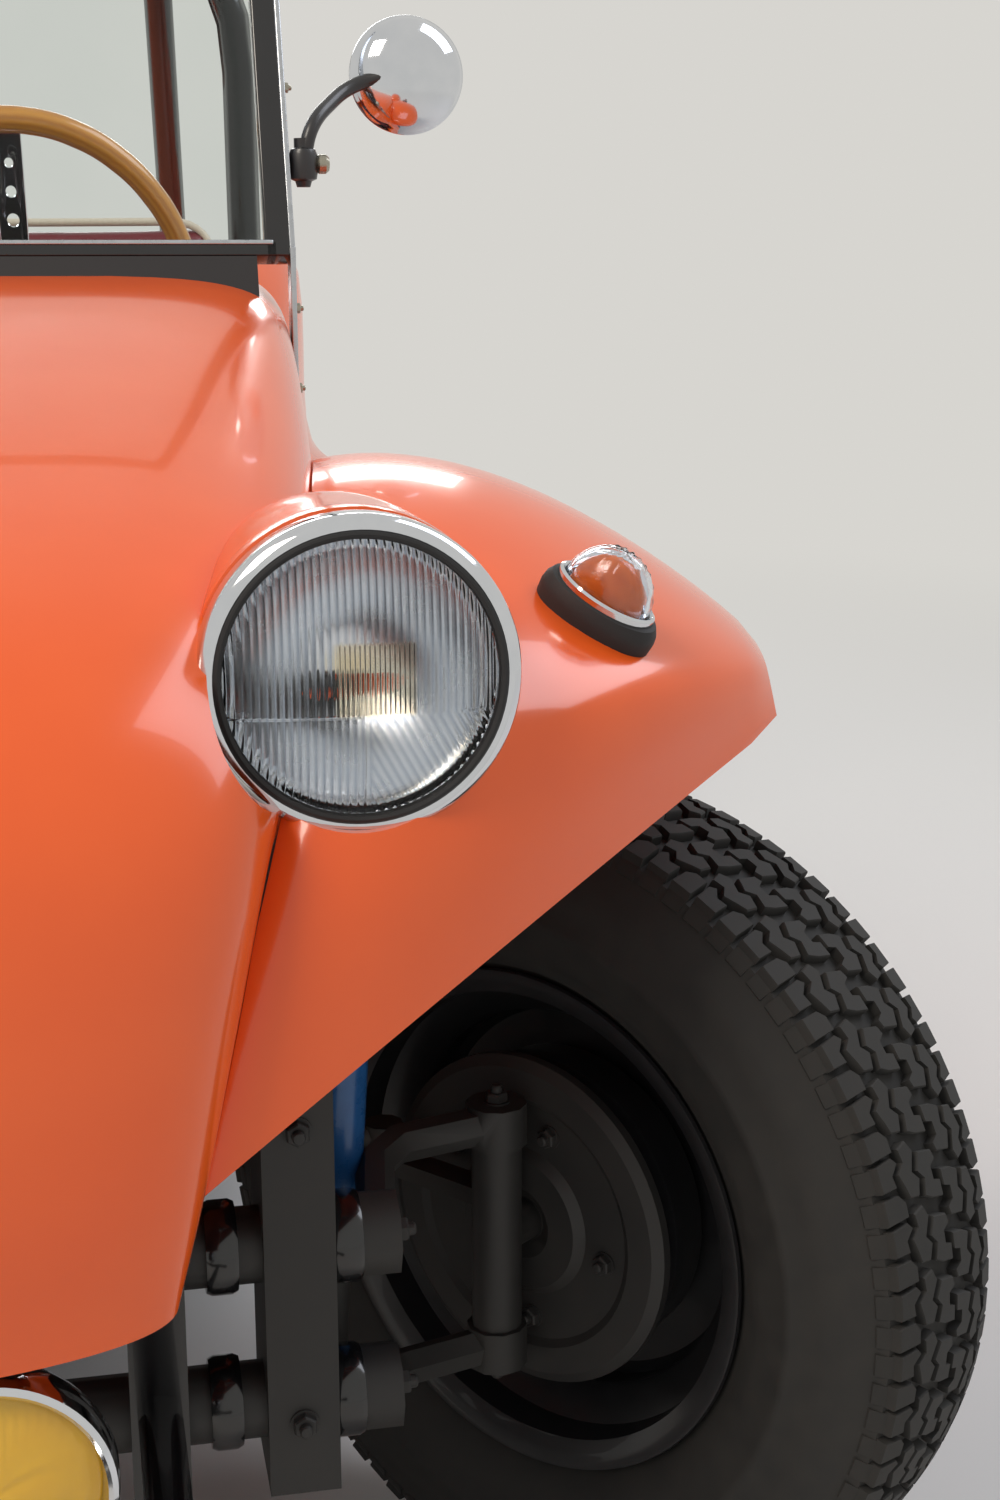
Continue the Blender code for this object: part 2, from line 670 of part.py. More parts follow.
# Front axle: two tubes, shock towers and trailing arms
UPPER_TUBE_Z = 0.424
LOWER_TUBE_Z = 0.304
TUBE_HALF = 0.470
TOWER_X = 0.428
TOWER_WIDTH = 0.050
TOWER_DEPTH = 0.095
TOWER_TOP = 0.560
TOWER_LOW = 0.245
TOWER_BACK = 0.062
TOWER_BACK_Y = BEAM_Y + TOWER_BACK
EYE_RADIUS = 0.024
EYE_HEIGHT = 0.034
POST_RADIUS = 0.020
POST_TOP = 0.425
POST_LOW = 0.272
ARM_WIDTH = 0.030
ARM_THICK = 0.024
BEAM_LINK_X = 0.160


def arm(tube_z, eye_z):
    """A trailing arm from the tube's end to the eye on the steering axis."""
    hub = rod((TUBE_HALF - OVERRUN / 3, BEAM_Y, tube_z), (TUBE_HALF + OVERRUN, BEAM_Y, tube_z),
              TUBE_RADIUS * 1.15, 8)
    start = Vector((TUBE_HALF + OVERRUN / 2, BEAM_Y, tube_z))
    end = Vector((KINGPIN_X, FRONT_AXLE_Y, eye_z))
    elbow = Vector((TUBE_HALF + OVERRUN, FRONT_AXLE_Y - OVERRUN, eye_z))
    blade = pipe(rounded([start, elbow, end], OVERRUN, 1), ARM_WIDTH / 2, 1)
    eye = rod(end - Vector((0, 0, EYE_HEIGHT / 2)), end + Vector((0, 0, EYE_HEIGHT / 2)),
              EYE_RADIUS, 10)
    return [hub, blade, eye]


def build_beam():
    """Twin-tube beam with its arms, ending in eyes above and below each knuckle."""
    tubes = [rod((-TUBE_HALF, BEAM_Y, z), (TUBE_HALF, BEAM_Y, z), TUBE_RADIUS, 12)
             for z in (UPPER_TUBE_Z, LOWER_TUBE_Z)]
    towers = []
    for side in (1, -1):
        middle = (TOWER_TOP + TOWER_LOW) / 2
        towers.append(box((TOWER_WIDTH, TOWER_DEPTH, TOWER_TOP - TOWER_LOW),
                          (side * TOWER_X, TOWER_BACK_Y - TOWER_DEPTH / 2, middle)))
        towers.append(box((PAN_SHEET, TUBE_RADIUS, UPPER_TUBE_Z - LOWER_TUBE_Z),
                          (side * BEAM_LINK_X, BEAM_Y, (UPPER_TUBE_Z + LOWER_TUBE_Z) / 2)))
    upper = POST_TOP + FIT + EYE_HEIGHT / 2
    lower = POST_LOW - FIT - EYE_HEIGHT / 2
    left = arm(UPPER_TUBE_Z, upper) + arm(LOWER_TUBE_Z, lower)
    right = []
    for piece in left:
        mesh = piece.data.copy()
        mesh.transform(Matrix.Diagonal((-1.0, 1.0, 1.0, 1.0)))
        mesh.flip_normals()
        right.append(link(bpy.data.objects.new("arm", mesh)))
    beam = fuse(tubes[0], tubes[1], *towers, *left, *right)
    rename(beam, "front_axle_beam", BLACK_STEEL)


build_beam()

# Steered knuckles, drop arm and tie rods, all on parallel upright axes
STEER_ARM = 0.120
ROD_Z = 0.400
ROD_RADIUS = 0.010
ROD_EYE_RADIUS = 0.016
ROD_EYE_HEIGHT = 0.020
BAR_SHARE = 0.7
DROP_X = 0.220
PLATE_RADIUS = 0.135
PLATE_THICK = 0.006
PLATE_OFFSET = 0.036
SPINDLE_RADIUS = 0.017
SPINDLE_END = HUB_OFFSET + 0.010
FRONT_HUB_Z = FRONT_TYRE_RADIUS


def steered(pivot_x):
    """World place of a piece drawn straight ahead about its own upright axis."""
    return Matrix.Translation((pivot_x, FRONT_AXLE_Y, 0)) @ Matrix.Rotation(STEER_REST, 4, "Z")


def seat_on_axis(obj, place):
    """Keep a piece's origin on its joint's axis."""
    obj.matrix_world = place


def knuckle(side, name):
    """Upright post with its spindle, brake backing plate and steering arm."""
    post = rod((0, 0, POST_LOW), (0, 0, POST_TOP), POST_RADIUS, 12)
    spindle = rod((0, 0, FRONT_HUB_Z), (side * SPINDLE_END, 0, FRONT_HUB_Z), SPINDLE_RADIUS, 12)
    backing = rod((side * PLATE_OFFSET, 0, FRONT_HUB_Z),
                  (side * (PLATE_OFFSET + PLATE_THICK), 0, FRONT_HUB_Z), PLATE_RADIUS, 16)
    eye_low = ROD_Z - ROD_EYE_HEIGHT * 1.5 - FIT
    steer = box((ARM_THICK, STEER_ARM, ROD_EYE_HEIGHT * BAR_SHARE),
                (0, STEER_ARM / 2, eye_low + ROD_EYE_HEIGHT / 2))
    eye = rod((0, STEER_ARM, eye_low), (0, STEER_ARM, eye_low + ROD_EYE_HEIGHT),
              ROD_EYE_RADIUS, 10)
    obj = fuse(post, spindle, backing, steer, eye)
    rename(obj, name, BLACK_STEEL)
    seat_on_axis(obj, steered(side * KINGPIN_X))


def drop_arm():
    """Short arm under the steering box that pulls both tie rods."""
    low = ROD_Z - ROD_EYE_HEIGHT * 1.5 - FIT
    bar = box((ARM_THICK, STEER_ARM, ROD_EYE_HEIGHT * BAR_SHARE),
              (0, STEER_ARM / 2, low + ROD_EYE_HEIGHT / 2))
    hub = rod((0, 0, low), (0, 0, low + ROD_EYE_HEIGHT), ROD_EYE_RADIUS * 1.3, 12)
    eye = rod((0, STEER_ARM, low), (0, STEER_ARM, low + ROD_EYE_HEIGHT), ROD_EYE_RADIUS * 1.6, 12)
    obj = fuse(bar, hub, eye)
    rename(obj, "drop_arm", CAST)
    seat_on_axis(obj, steered(DROP_X))


def tie_rod(side, name):
    """Rod from a knuckle's arm to the drop arm, lying across the car."""
    pivot = steered(side * KINGPIN_X) @ Vector((0, STEER_ARM, ROD_Z))
    inner = steered(DROP_X) @ Vector((0, STEER_ARM, ROD_Z))
    reach = inner.x + side * ROD_EYE_RADIUS * 0.8 - pivot.x
    bar = rod((0, 0, 0), (reach, 0, 0), ROD_RADIUS, 8)
    ends = [rod((0, 0, -ROD_EYE_HEIGHT / 2), (0, 0, ROD_EYE_HEIGHT / 2), ROD_EYE_RADIUS, 10),
            rod((reach, 0, -ROD_EYE_HEIGHT / 2), (reach, 0, ROD_EYE_HEIGHT / 2),
                ROD_EYE_RADIUS * 0.7, 10)]
    obj = fuse(bar, *ends)
    rename(obj, name, BLACK_STEEL)
    seat_on_axis(obj, Matrix.Translation(pivot))


for side, word in ((1, "left"), (-1, "right")):
    knuckle(side, "knuckle_" + word)
    tie_rod(side, "tie_rod_" + word)
drop_arm()

# Steering box, column and wheel
BOX_RADIUS = 0.034
WHEEL_CENTRE = Vector((0.235, FRONT_AXLE_Y + 1.095, 1.100))
STEERING_RADIUS = 0.190
GRIP_RADIUS = 0.013
COLUMN_RADIUS = 0.019
BOX_TOP = Vector((DROP_X, FRONT_AXLE_Y, 0.480))
COLUMN_AXIS = (WHEEL_CENTRE - BOX_TOP).normalized()
WHEEL_HUB_DEPTH = 0.060


def build_steering():
    """Box on the upper tube, the column up to the dashboard and a three-spoke wheel."""
    low = ROD_Z - ROD_EYE_HEIGHT / 2 + FIT
    shaft = rod((DROP_X, FRONT_AXLE_Y, low), (DROP_X, FRONT_AXLE_Y, BOX_TOP.z), BOX_RADIUS * 0.6, 16)
    case = rod((DROP_X, FRONT_AXLE_Y, UPPER_TUBE_Z), (DROP_X, FRONT_AXLE_Y, BOX_TOP.z + OVERRUN / 2),
               BOX_RADIUS, 12)
    clamp = box((2 * BOX_RADIUS, FRONT_AXLE_Y - BEAM_Y - TUBE_RADIUS - FIT, BOX_RADIUS),
                (DROP_X, (FRONT_AXLE_Y + BEAM_Y + TUBE_RADIUS + FIT) / 2, UPPER_TUBE_Z + BOX_RADIUS))
    column = rod(BOX_TOP, WHEEL_CENTRE - COLUMN_AXIS * WHEEL_HUB_DEPTH, COLUMN_RADIUS, 16)
    rename(fuse(case, shaft, clamp, column), "steering_column", BLACK_STEEL)

    place = Matrix.Translation(WHEEL_CENTRE) @ COLUMN_AXIS.to_track_quat("Z", "Y").to_matrix().to_4x4()
    rim_points = [(STEERING_RADIUS * math.cos(t), STEERING_RADIUS * math.sin(t), 0)
                  for t in [2 * math.pi * i / 22 for i in range(22)]]
    grip = pipe(rim_points, GRIP_RADIUS, 1, True)
    hub = rod((0, 0, -WHEEL_HUB_DEPTH + FIT), (0, 0, -WHEEL_HUB_DEPTH / 4), COLUMN_RADIUS * 1.6, 20,
              COLUMN_RADIUS * 1.9)
    spokes = []
    for turn in (math.radians(angle) for angle in (90, 210, 330)):
        along = Vector((math.cos(turn), math.sin(turn), 0))
        spokes.append(rod(along * COLUMN_RADIUS - Vector((0, 0, WHEEL_HUB_DEPTH / 2)),
                          along * STEERING_RADIUS, GRIP_RADIUS * 0.6, 8))
    wheel = fuse(hub, grip, *spokes)
    rename(wheel, "steering_wheel", WOOD)
    seat_on_axis(wheel, place)


build_steering()

# Wheels: columns are the tyre's radius, width and tread width, the rim's width
RIM_LIP = 0.208
RIM_SEAT = 0.1905
RIM_WELL = 0.165
RIM_SHEET = 0.006
DISC_THICK = 0.010
DRUM_RADIUS = 0.125
DRUM_DEPTH = 0.055
HUB_CAP_RADIUS = 0.040
HUB_BORE = SPINDLE_RADIUS + FIT
FRONT_WHEEL = (FRONT_TYRE_RADIUS, 0.176, 0.136, 0.142)
REAR_WHEEL = (REAR_TYRE_RADIUS, 0.235, 0.190, 0.190)
TREAD_DEPTH = 0.009
TREAD_ROWS = 4
LUG_TAPER = 0.86
WHEEL_STEPS = 16
ALONG_X = Matrix.Rotation(math.pi / 2, 4, "Y")


def lugs(body, edge, floor):
    """Raise every other patch of a tyre's tread, staggered from row to row."""
    bm = bmesh.new()
    bm.from_mesh(body.data)
    raised = []
    for face in bm.faces:
        middle = face.calc_center_median()
        if abs(middle.z) < edge and middle.xy.length > floor:
            row = round(middle.z / edge * TREAD_ROWS / 2 + (TREAD_ROWS - 1) / 2)
            step = math.floor(math.atan2(middle.y, middle.x) / (math.pi / WHEEL_STEPS))
            if (row + step) % 2:
                raised.append(face)
    for block in bmesh.ops.extrude_discrete_faces(bm, faces=raised)["faces"]:
        middle = block.calc_center_median().z
        for vert in block.verts:
            vert.co.xy *= 1 + TREAD_DEPTH / vert.co.xy.length
            vert.co.z = middle + (vert.co.z - middle) * LUG_TAPER
    bm.to_mesh(body.data)
    bm.free()
    return body


def tyre(size, place, name):
    """Tyre with staggered tread blocks, drawn about +Z outboard, closed at its beads."""
    radius, width, tread, rim = size
    seat = RIM_SEAT + FIT
    bead = 3 * FIT
    base = radius - TREAD_DEPTH
    crown = [(base - abs(2 * i / TREAD_ROWS - 1) ** 2 * TREAD_DEPTH, (0.5 - i / TREAD_ROWS) * tread)
             for i in range(TREAD_ROWS + 1)]
    half = [(seat, rim / 2 - 2 * RIM_SHEET - bead), (RIM_LIP + bead, rim / 2 - RIM_SHEET - bead),
            (RIM_LIP + 2 * RIM_SHEET, rim / 2), ((RIM_LIP + radius) / 2, width / 2),
            (radius - 3 * TREAD_DEPTH, width * 0.46)]
    profile = half + crown + [(r, -x) for r, x in reversed(half)]
    body = turned(profile, Matrix(), 2 * WHEEL_STEPS)
    lugs(body, tread / 2, radius - 3 * TREAD_DEPTH)
    rename(body, name, RUBBER)
    seat_on_axis(body, place @ ALONG_X)
    return body


def rim(size, place, name):
    """Steel rim with its disc and the brake drum behind it."""
    radius, width, tread, rim_width = size
    half = rim_width / 2
    inner_seat, inner_well = RIM_SEAT - RIM_SHEET, RIM_WELL - RIM_SHEET
    barrel = turned([(RIM_LIP, half), (RIM_LIP, half - RIM_SHEET), (RIM_SEAT, half - 2 * RIM_SHEET),
                     (RIM_WELL, half * 0.35), (RIM_WELL, -half * 0.2),
                     (RIM_SEAT, -half + 2 * RIM_SHEET), (RIM_LIP, -half + RIM_SHEET),
                     (RIM_LIP, -half), (inner_seat, -half), (inner_well, -half * 0.2),
                     (inner_well, half * 0.35), (inner_seat, half)],
                    Matrix(), WHEEL_STEPS)
    disc_z = half * 0.25
    back = disc_z - DRUM_DEPTH
    cap_top = disc_z + 4 * DISC_THICK
    edge = RIM_WELL - RIM_SHEET / 2
    centre = turned([(0, cap_top), (HUB_CAP_RADIUS * 0.8, cap_top - DISC_THICK / 3),
                     (HUB_CAP_RADIUS, cap_top - DISC_THICK), (HUB_CAP_RADIUS, disc_z + DISC_THICK),
                     (edge, disc_z + DISC_THICK / 2), (edge, disc_z - DISC_THICK / 2),
                     (DRUM_RADIUS, disc_z - DISC_THICK / 2), (DRUM_RADIUS, back),
                     (HUB_BORE, back), (HUB_BORE, disc_z), (0, disc_z)], Matrix(), WHEEL_STEPS)
    wheel = fuse(barrel, centre)
    rename(wheel, name, BLACK_STEEL)
    seat_on_axis(wheel, place @ ALONG_X)
    return wheel


for side, word in ((1, "left"), (-1, "right")):
    outboard = Matrix() if side > 0 else Matrix.Rotation(math.pi, 4, "Z")
    front = steered(side * KINGPIN_X) @ Matrix.Translation((side * HUB_OFFSET, 0, FRONT_TYRE_RADIUS))
    rear = Matrix.Translation((side * REAR_WHEEL_X, REAR_AXLE_Y, REAR_TYRE_RADIUS))
    for place, size, end in ((front, FRONT_WHEEL, "front"), (rear, REAR_WHEEL, "rear")):
        tyre(size, place @ outboard, "tyre_" + end + "_" + word)
        rim(size, place @ outboard, "rim_" + end + "_" + word)


# Windscreen: a leaning frame on the cowl with its side bars running down outside
SCREEN_HALF = 0.500
SCREEN_HEIGHT = 0.392
SCREEN_BAR = 0.022
SCREEN_RAIL = 0.014
SCREEN_DEPTH = 0.024
SCREEN_LEAN = math.radians(20.4)
SCREEN_BASE = Vector((0, FRONT_AXLE_Y + 0.406, 1.0965))
GLASS_THICK = 0.005
BAR_THICK = 0.005
BAR_WIDTH = 0.024
BAR_FOOT = 0.172
STRIP_SHARE = 0.96
SEAL_HALF = 0.470
SEAL_HEIGHT = 0.060
LEANING = Matrix.Translation(SCREEN_BASE) @ Matrix.Rotation(-SCREEN_LEAN, 4, "X")


def placed(obj, place):
    """Move a loose piece's mesh to its place."""
    obj.data.transform(place)
    return obj


def build_screen():
    """Square-tube frame, side bars bolted down the body and a flat glass."""
    outer = box((2 * SCREEN_HALF, SCREEN_DEPTH, SCREEN_HEIGHT), (0, 0, SCREEN_HEIGHT / 2), SCREEN_BAR / 6)
    hole = box((2 * (SCREEN_HALF - SCREEN_BAR), 2 * SCREEN_DEPTH, SCREEN_HEIGHT - 2 * SCREEN_RAIL),
               (0, 0, SCREEN_HEIGHT / 2))
    frame = placed(cut(outer, hole), LEANING)
    out = SCREEN_HALF + BAR_THICK / 3
    reach = SCREEN_HEIGHT * STRIP_SHARE
    for side in (1, -1):
        strip = placed(box((BAR_THICK, BAR_WIDTH, reach), (side * out, 0, reach / 2)), LEANING)
        leg = box((BAR_THICK, BAR_WIDTH, BAR_FOOT),
                  (side * out, SCREEN_BASE.y, SCREEN_BASE.z + BAR_WIDTH / 2 - BAR_FOOT / 2))
        frame = fuse(frame, strip, leg)
    rename(frame, "windscreen_frame", BLACK_STEEL)
    glass = box((2 * (SCREEN_HALF - SCREEN_BAR - FIT), GLASS_THICK,
                 SCREEN_HEIGHT - 2 * (SCREEN_RAIL + FIT)), (0, 0, SCREEN_HEIGHT / 2))
    rename(placed(glass, LEANING), "windscreen_glass", CLEAR)
    seal = box((2 * SEAL_HALF, SCREEN_DEPTH, SEAL_HEIGHT), (0, 0, -SEAL_HEIGHT / 2 - FIT))
    crown = skin(hood_rows(), HOOD_INSIDE, FIT, 2 * KEEP_DEPTH, True)
    seal = without_offcuts(cut(placed(seal, LEANING), crown))
    rename(seal, "windscreen_seal", RUBBER)


build_screen()

# Round mirrors on bent arms
MIRROR_RADIUS = 0.053
MIRROR_DEPTH = 0.030
MIRROR_CENTRE = Vector((0.622, FRONT_AXLE_Y + 0.500, 1.262))
MIRROR_ARM = 0.007
CLAMP_RADIUS = 0.013
MIRROR_FOOT = Vector((SCREEN_HALF + BAR_THICK * 5 / 6 + FIT + CLAMP_RADIUS,
                      FRONT_AXLE_Y + 0.440, 1.180))


def mirror():
    """Domed cup, its bent arm and the clamp on the windscreen's side."""
    cup = turned([(MIRROR_RADIUS * math.sin(t), MIRROR_DEPTH * math.cos(t))
                  for t in [math.pi / 2 * i / 4 for i in range(5)]]
                 + [(MIRROR_RADIUS, -MIRROR_DEPTH / 5), (0.0, -MIRROR_DEPTH / 5)],
                 Matrix.Translation(MIRROR_CENTRE) @ FORWARD, 16)
    path = [MIRROR_FOOT, MIRROR_FOOT + Vector((MIRROR_ARM * 2, 0, MIRROR_RADIUS)),
            MIRROR_CENTRE - Vector((MIRROR_RADIUS / 2, MIRROR_DEPTH * 1.1, 0)),
            MIRROR_CENTRE - Vector((0, MIRROR_DEPTH / 2, 0))]
    arm_tube = pipe(rounded(path, MIRROR_RADIUS / 2, 3), MIRROR_ARM, 1)
    clamp = rod(MIRROR_FOOT - Vector((0, 0, CLAMP_RADIUS)), MIRROR_FOOT + Vector((0, 0, CLAMP_RADIUS)),
                CLAMP_RADIUS, 12)
    return fuse(cup, arm_tube, clamp)


glass_mirror = rename(mirror(), "mirror_left", CHROME)
mirrored(glass_mirror, "mirror_right", CHROME)

# Indicators on the fender crowns
INDICATOR_CENTRE = Vector((0.636, FRONT_AXLE_Y - 0.136, 0.852))
INDICATOR_LENGTH = 0.105
INDICATOR_WIDTH = 0.058
INDICATOR_HEIGHT = 0.060
INDICATOR_YAW = math.radians(-32)
INDICATOR_PITCH = math.radians(24)
# columns: radius, height (shares of the half length and the height)
INDICATOR_SHARES = (
    (0.00, 1.00), (0.30, 0.97), (0.56, 0.86), (0.74, 0.66), (0.82, 0.44), (0.92, 0.36),
    (1.00, 0.22), (1.00, -0.40), (0.00, -0.40),
)


def indicator():
    """Domed oval lens standing in a rubber foot on the fender's skin."""
    spots = [(radius * INDICATOR_LENGTH / 2, up * INDICATOR_HEIGHT) for radius, up in INDICATOR_SHARES]
    narrow = Matrix.Diagonal((INDICATOR_WIDTH / INDICATOR_LENGTH, 1.0, 1.0, 1.0))
    place = (Matrix.Translation(INDICATOR_CENTRE) @ Matrix.Rotation(INDICATOR_YAW, 4, "Z")
             @ Matrix.Rotation(INDICATOR_PITCH, 4, "X") @ narrow)
    lamp_body = turned(spots, place, 14)
    return without_offcuts(cut(lamp_body, skin(front_fender_rows(), FENDER_INSIDE, FIT, 2 * KEEP_DEPTH)))


turn_lamp = rename(indicator(), "indicator_left", AMBER)
mirrored(turn_lamp, "indicator_right", AMBER)

# Dashboard under the cowl
DASH_Y = NOSE_Y + HOOD_LENGTH - 0.030
DASH_THICK = 0.012
DASH_LOW = 0.860


def build_dash():
    """Flat dashboard cut to the cowl's section."""
    back, up, out, edge_back, edge_up, square, tuck = HOOD_SHARES[-1]
    block = box((2 * COWL_HALF * 0.97, DASH_THICK, up * COWL_HEIGHT - DASH_LOW),
                (0, DASH_Y, (up * COWL_HEIGHT + DASH_LOW) / 2))
    shell = skin(hood_rows(), HOOD_INSIDE, KEEP_DEPTH, WALL + FIT, True)
    dash = without_offcuts(cut(block, shell))
    column = rod(BOX_TOP, WHEEL_CENTRE, COLUMN_RADIUS + FIT, 16)
    dash = cut(dash, column)
    rename(dash, "dashboard", BLACK_STEEL)


build_dash()

# Toe board between the pan and the hood, open round the tunnel and the column
TOE_Y = FRONT_AXLE_Y + 0.340
TOE_THICK = 0.006
TOE_HALF = 0.440
TOE_TOP = 1.170


def build_toe_board():
    """Upright sheet cut to the hood's section, with notches for the tunnel and the column."""
    low = PAN_TOP + FIT
    board = box((2 * TOE_HALF, TOE_THICK, TOE_TOP - low), (0, TOE_Y, (TOE_TOP + low) / 2))
    shell = skin(hood_rows(), HOOD_INSIDE, 2 * KEEP_DEPTH, WALL + SEAM, True)
    tunnel = box((2 * (TUNNEL_HALF + SEAM), OVERRUN, 2 * (TUNNEL_HEIGHT + PAN_SHEET)),
                 (0, TOE_Y, PAN_TOP))
    column = rod(BOX_TOP, WHEEL_CENTRE, COLUMN_RADIUS + SEAM, 16)
    board = without_offcuts(cut(board, shell, tunnel, column))
    rename(board, "toe_board", BLACK_STEEL)


build_toe_board()

# Bucket seats
SEAT_X = 0.274
SEAT_WIDTH = 0.405
SEAT_DEPTH = 0.460
SEAT_PAD = 0.130
SEAT_BACK_HEIGHT = 0.820
SEAT_BACK_THICK = 0.090
SEAT_BACK_LEAN = math.radians(13)
SEAT_FRONT_Y = FRONT_AXLE_Y + 0.960
SEAT_RAIL = 0.060
BOLSTER = 0.050


def seat(side):
    """Cushion and leaning high back with side bolsters, as one padded shell."""
    base = PAN_TOP + FIT
    cushion = box((SEAT_WIDTH, SEAT_DEPTH, SEAT_PAD),
                  (side * SEAT_X, SEAT_FRONT_Y + SEAT_DEPTH / 2, base + SEAT_RAIL + SEAT_PAD / 2),
                  SEAT_PAD / 4)
    rails = box((SEAT_WIDTH * 0.7, SEAT_DEPTH * 0.7, SEAT_RAIL * 1.5),
                (side * SEAT_X, SEAT_FRONT_Y + SEAT_DEPTH / 2, base + SEAT_RAIL * 0.75))
    pivot = Matrix.Translation((side * SEAT_X, SEAT_FRONT_Y + SEAT_DEPTH - SEAT_BACK_THICK,
                                base + SEAT_RAIL + SEAT_PAD / 2))
    lean = pivot @ Matrix.Rotation(-SEAT_BACK_LEAN, 4, "X")
    back = placed(box((SEAT_WIDTH, SEAT_BACK_THICK, SEAT_BACK_HEIGHT),
                      (0, SEAT_BACK_THICK / 2, SEAT_BACK_HEIGHT / 2), SEAT_BACK_THICK / 3), lean)
    sides = [placed(box((BOLSTER, SEAT_BACK_THICK, SEAT_BACK_HEIGHT * 0.6),
                        (wing * (SEAT_WIDTH - BOLSTER * 1.2) / 2, -BOLSTER / 3,
                         SEAT_BACK_HEIGHT * 0.42), BOLSTER / 3), lean) for wing in (1, -1)]
    return fuse(cushion, rails, back, *sides)


for side, word in ((1, "left"), (-1, "right")):
    rename(seat(side), "seat_" + word, VINYL)

# Roll bar behind the seats, with two stays to the deck
STAY_X = 0.400
STAY_FOOT = Vector((0.420, FRONT_AXLE_Y + 2.160, 1.000))

def build_roll_bar():
    """Main hoop from the pan and two stays back to the rear deck."""
    foot = PAN_TOP + FIT
    path = [(-HOOP_HALF, HOOP_Y, foot), (-HOOP_HALF, HOOP_Y, HOOP_TOP), (HOOP_HALF, HOOP_Y, HOOP_TOP),
            (HOOP_HALF, HOOP_Y, foot)]
    hoop = pipe(rounded(path, HOOP_BEND, 5), HOOP_RADIUS, 1)
    stays = [rod((side * STAY_X, HOOP_Y, HOOP_TOP), (side * STAY_FOOT.x, STAY_FOOT.y, STAY_FOOT.z),
                 HOOP_RADIUS * 0.9, 10) for side in (1, -1)]
    bar = fuse(hoop, *stays)
    bar = without_offcuts(cut(bar, skin(deck_rows(), DECK_INSIDE, FIT, 2 * KEEP_DEPTH, True)))
    rename(bar, "roll_bar", BLACK_STEEL)


build_roll_bar()

# Front bumper: flat brackets on the beam carrying a cross tube and two fog lamps
BRACKET_X = 0.328
BRACKET_WIDTH = 0.040
BRACKET_THICK = 0.008
BRACKET_TOP = 0.450
BUMPER_Y = FRONT_AXLE_Y - 0.455
BUMPER_Z = 0.330
BUMPER_RADIUS = 0.021
BUMPER_HALF = 0.420
FOG_CENTRE = Vector((0.228, FRONT_AXLE_Y - 0.425, 0.440))
FOG_RADIUS = 0.070
FOG_DEPTH = 0.070
FOG_BRACKET = 0.012


def build_bumper():
    """Brackets, their forward arms and the cross tube."""
    face = BEAM_Y - TUBE_RADIUS - FIT - BRACKET_THICK / 2
    pieces = []
    for side in (1, -1):
        pieces.append(box((BRACKET_WIDTH, BRACKET_THICK, BRACKET_TOP - LOWER_TUBE_Z + 2 * TUBE_RADIUS),
                          (side * BRACKET_X, face, (BRACKET_TOP + LOWER_TUBE_Z) / 2 - TUBE_RADIUS)))
        pieces.append(rod((side * BRACKET_X, face, BUMPER_Z - BUMPER_RADIUS / 2),
                          (side * BRACKET_X, BUMPER_Y, BUMPER_Z), BRACKET_WIDTH * 0.4, 10))
        pieces.append(rod((side * FOG_CENTRE.x, FOG_CENTRE.y - FOG_BRACKET, BUMPER_Z),
                          (side * FOG_CENTRE.x, FOG_CENTRE.y - FOG_BRACKET,
                           FOG_CENTRE.z - FOG_RADIUS - FIT), FOG_BRACKET, 10))
    wing = BUMPER_RADIUS * 3
    path = [(-BUMPER_HALF, BUMPER_Y + wing, BUMPER_Z), (-BUMPER_HALF + wing, BUMPER_Y, BUMPER_Z),
            (BUMPER_HALF - wing, BUMPER_Y, BUMPER_Z), (BUMPER_HALF, BUMPER_Y + wing, BUMPER_Z)]
    tube = pipe(rounded(path, wing, 3), BUMPER_RADIUS, 1)
    rename(fuse(tube, *pieces), "front_bumper", BLACK_STEEL)


build_bumper()


def fog_lamp(side):
    """Shallow round lamp with a yellow lens."""
    profile = [(0, 0.25), (0.5, 0.2), (0.86, 0.06), (0.9, 0.28), (1.0, 0.2), (1.0, -0.2),
               (0.88, -0.45), (0.45, -0.9), (0, -1.0)]
    spots = [(r * FOG_RADIUS, z * FOG_DEPTH) for r, z in profile]
    place = Matrix.Translation((side * FOG_CENTRE.x, FOG_CENTRE.y, FOG_CENTRE.z)) @ FORWARD
    return turned(spots, place, 20)


for side, word in ((1, "left"), (-1, "right")):
    rename(fog_lamp(side), "fog_lamp_" + word, YELLOW)

# Dampers: columns are the lower eye, the upper eye, the body radius and the end of the
# upper eye's bolt
SHOCK_BOLT = 0.010
FRONT_SHOCK = (Vector((0.445, FRONT_AXLE_Y - 0.042, 0.250)),
               Vector((0.445, FRONT_AXLE_Y - 0.042, 0.550)), 0.022,
               Vector((0.445, TOWER_BACK_Y + FIT, 0.520)))
REAR_SHOCK = (Vector((0.500, REAR_AXLE_Y, REAR_TYRE_RADIUS + AXLE_TUBE_RADIUS * 1.2)),
              Vector((0.450, REAR_AXLE_Y - 0.060, 0.740)), 0.026,
              REAR_TOWER_TOP + Vector((REAR_TOWER_RADIUS + SEAM, 0, 0)))


def damper(side, size):
    """Telescopic damper: rod and body on one line, and the bolt that holds its head."""
    lower, upper, radius, bolt_end = size
    lower, upper, bolt_end = (Vector((side * spot.x, spot.y, spot.z))
                              for spot in (lower, upper, bolt_end))
    split = lower.lerp(upper, 0.45)
    bolt_start = lower.lerp(upper, (bolt_end.z - lower.z) / (upper.z - lower.z))
    return fuse(rod(lower, split, radius * 0.8, 12),
                rod(split - (upper - lower) * 0.05, upper, radius, 16),
                rod(bolt_start, bolt_end, SHOCK_BOLT, 10))


for side, word in ((1, "left"), (-1, "right")):
    rename(damper(side, FRONT_SHOCK), "front_shock_" + word, BLUE)
    rename(damper(side, REAR_SHOCK), "rear_shock_" + word, BLUE)

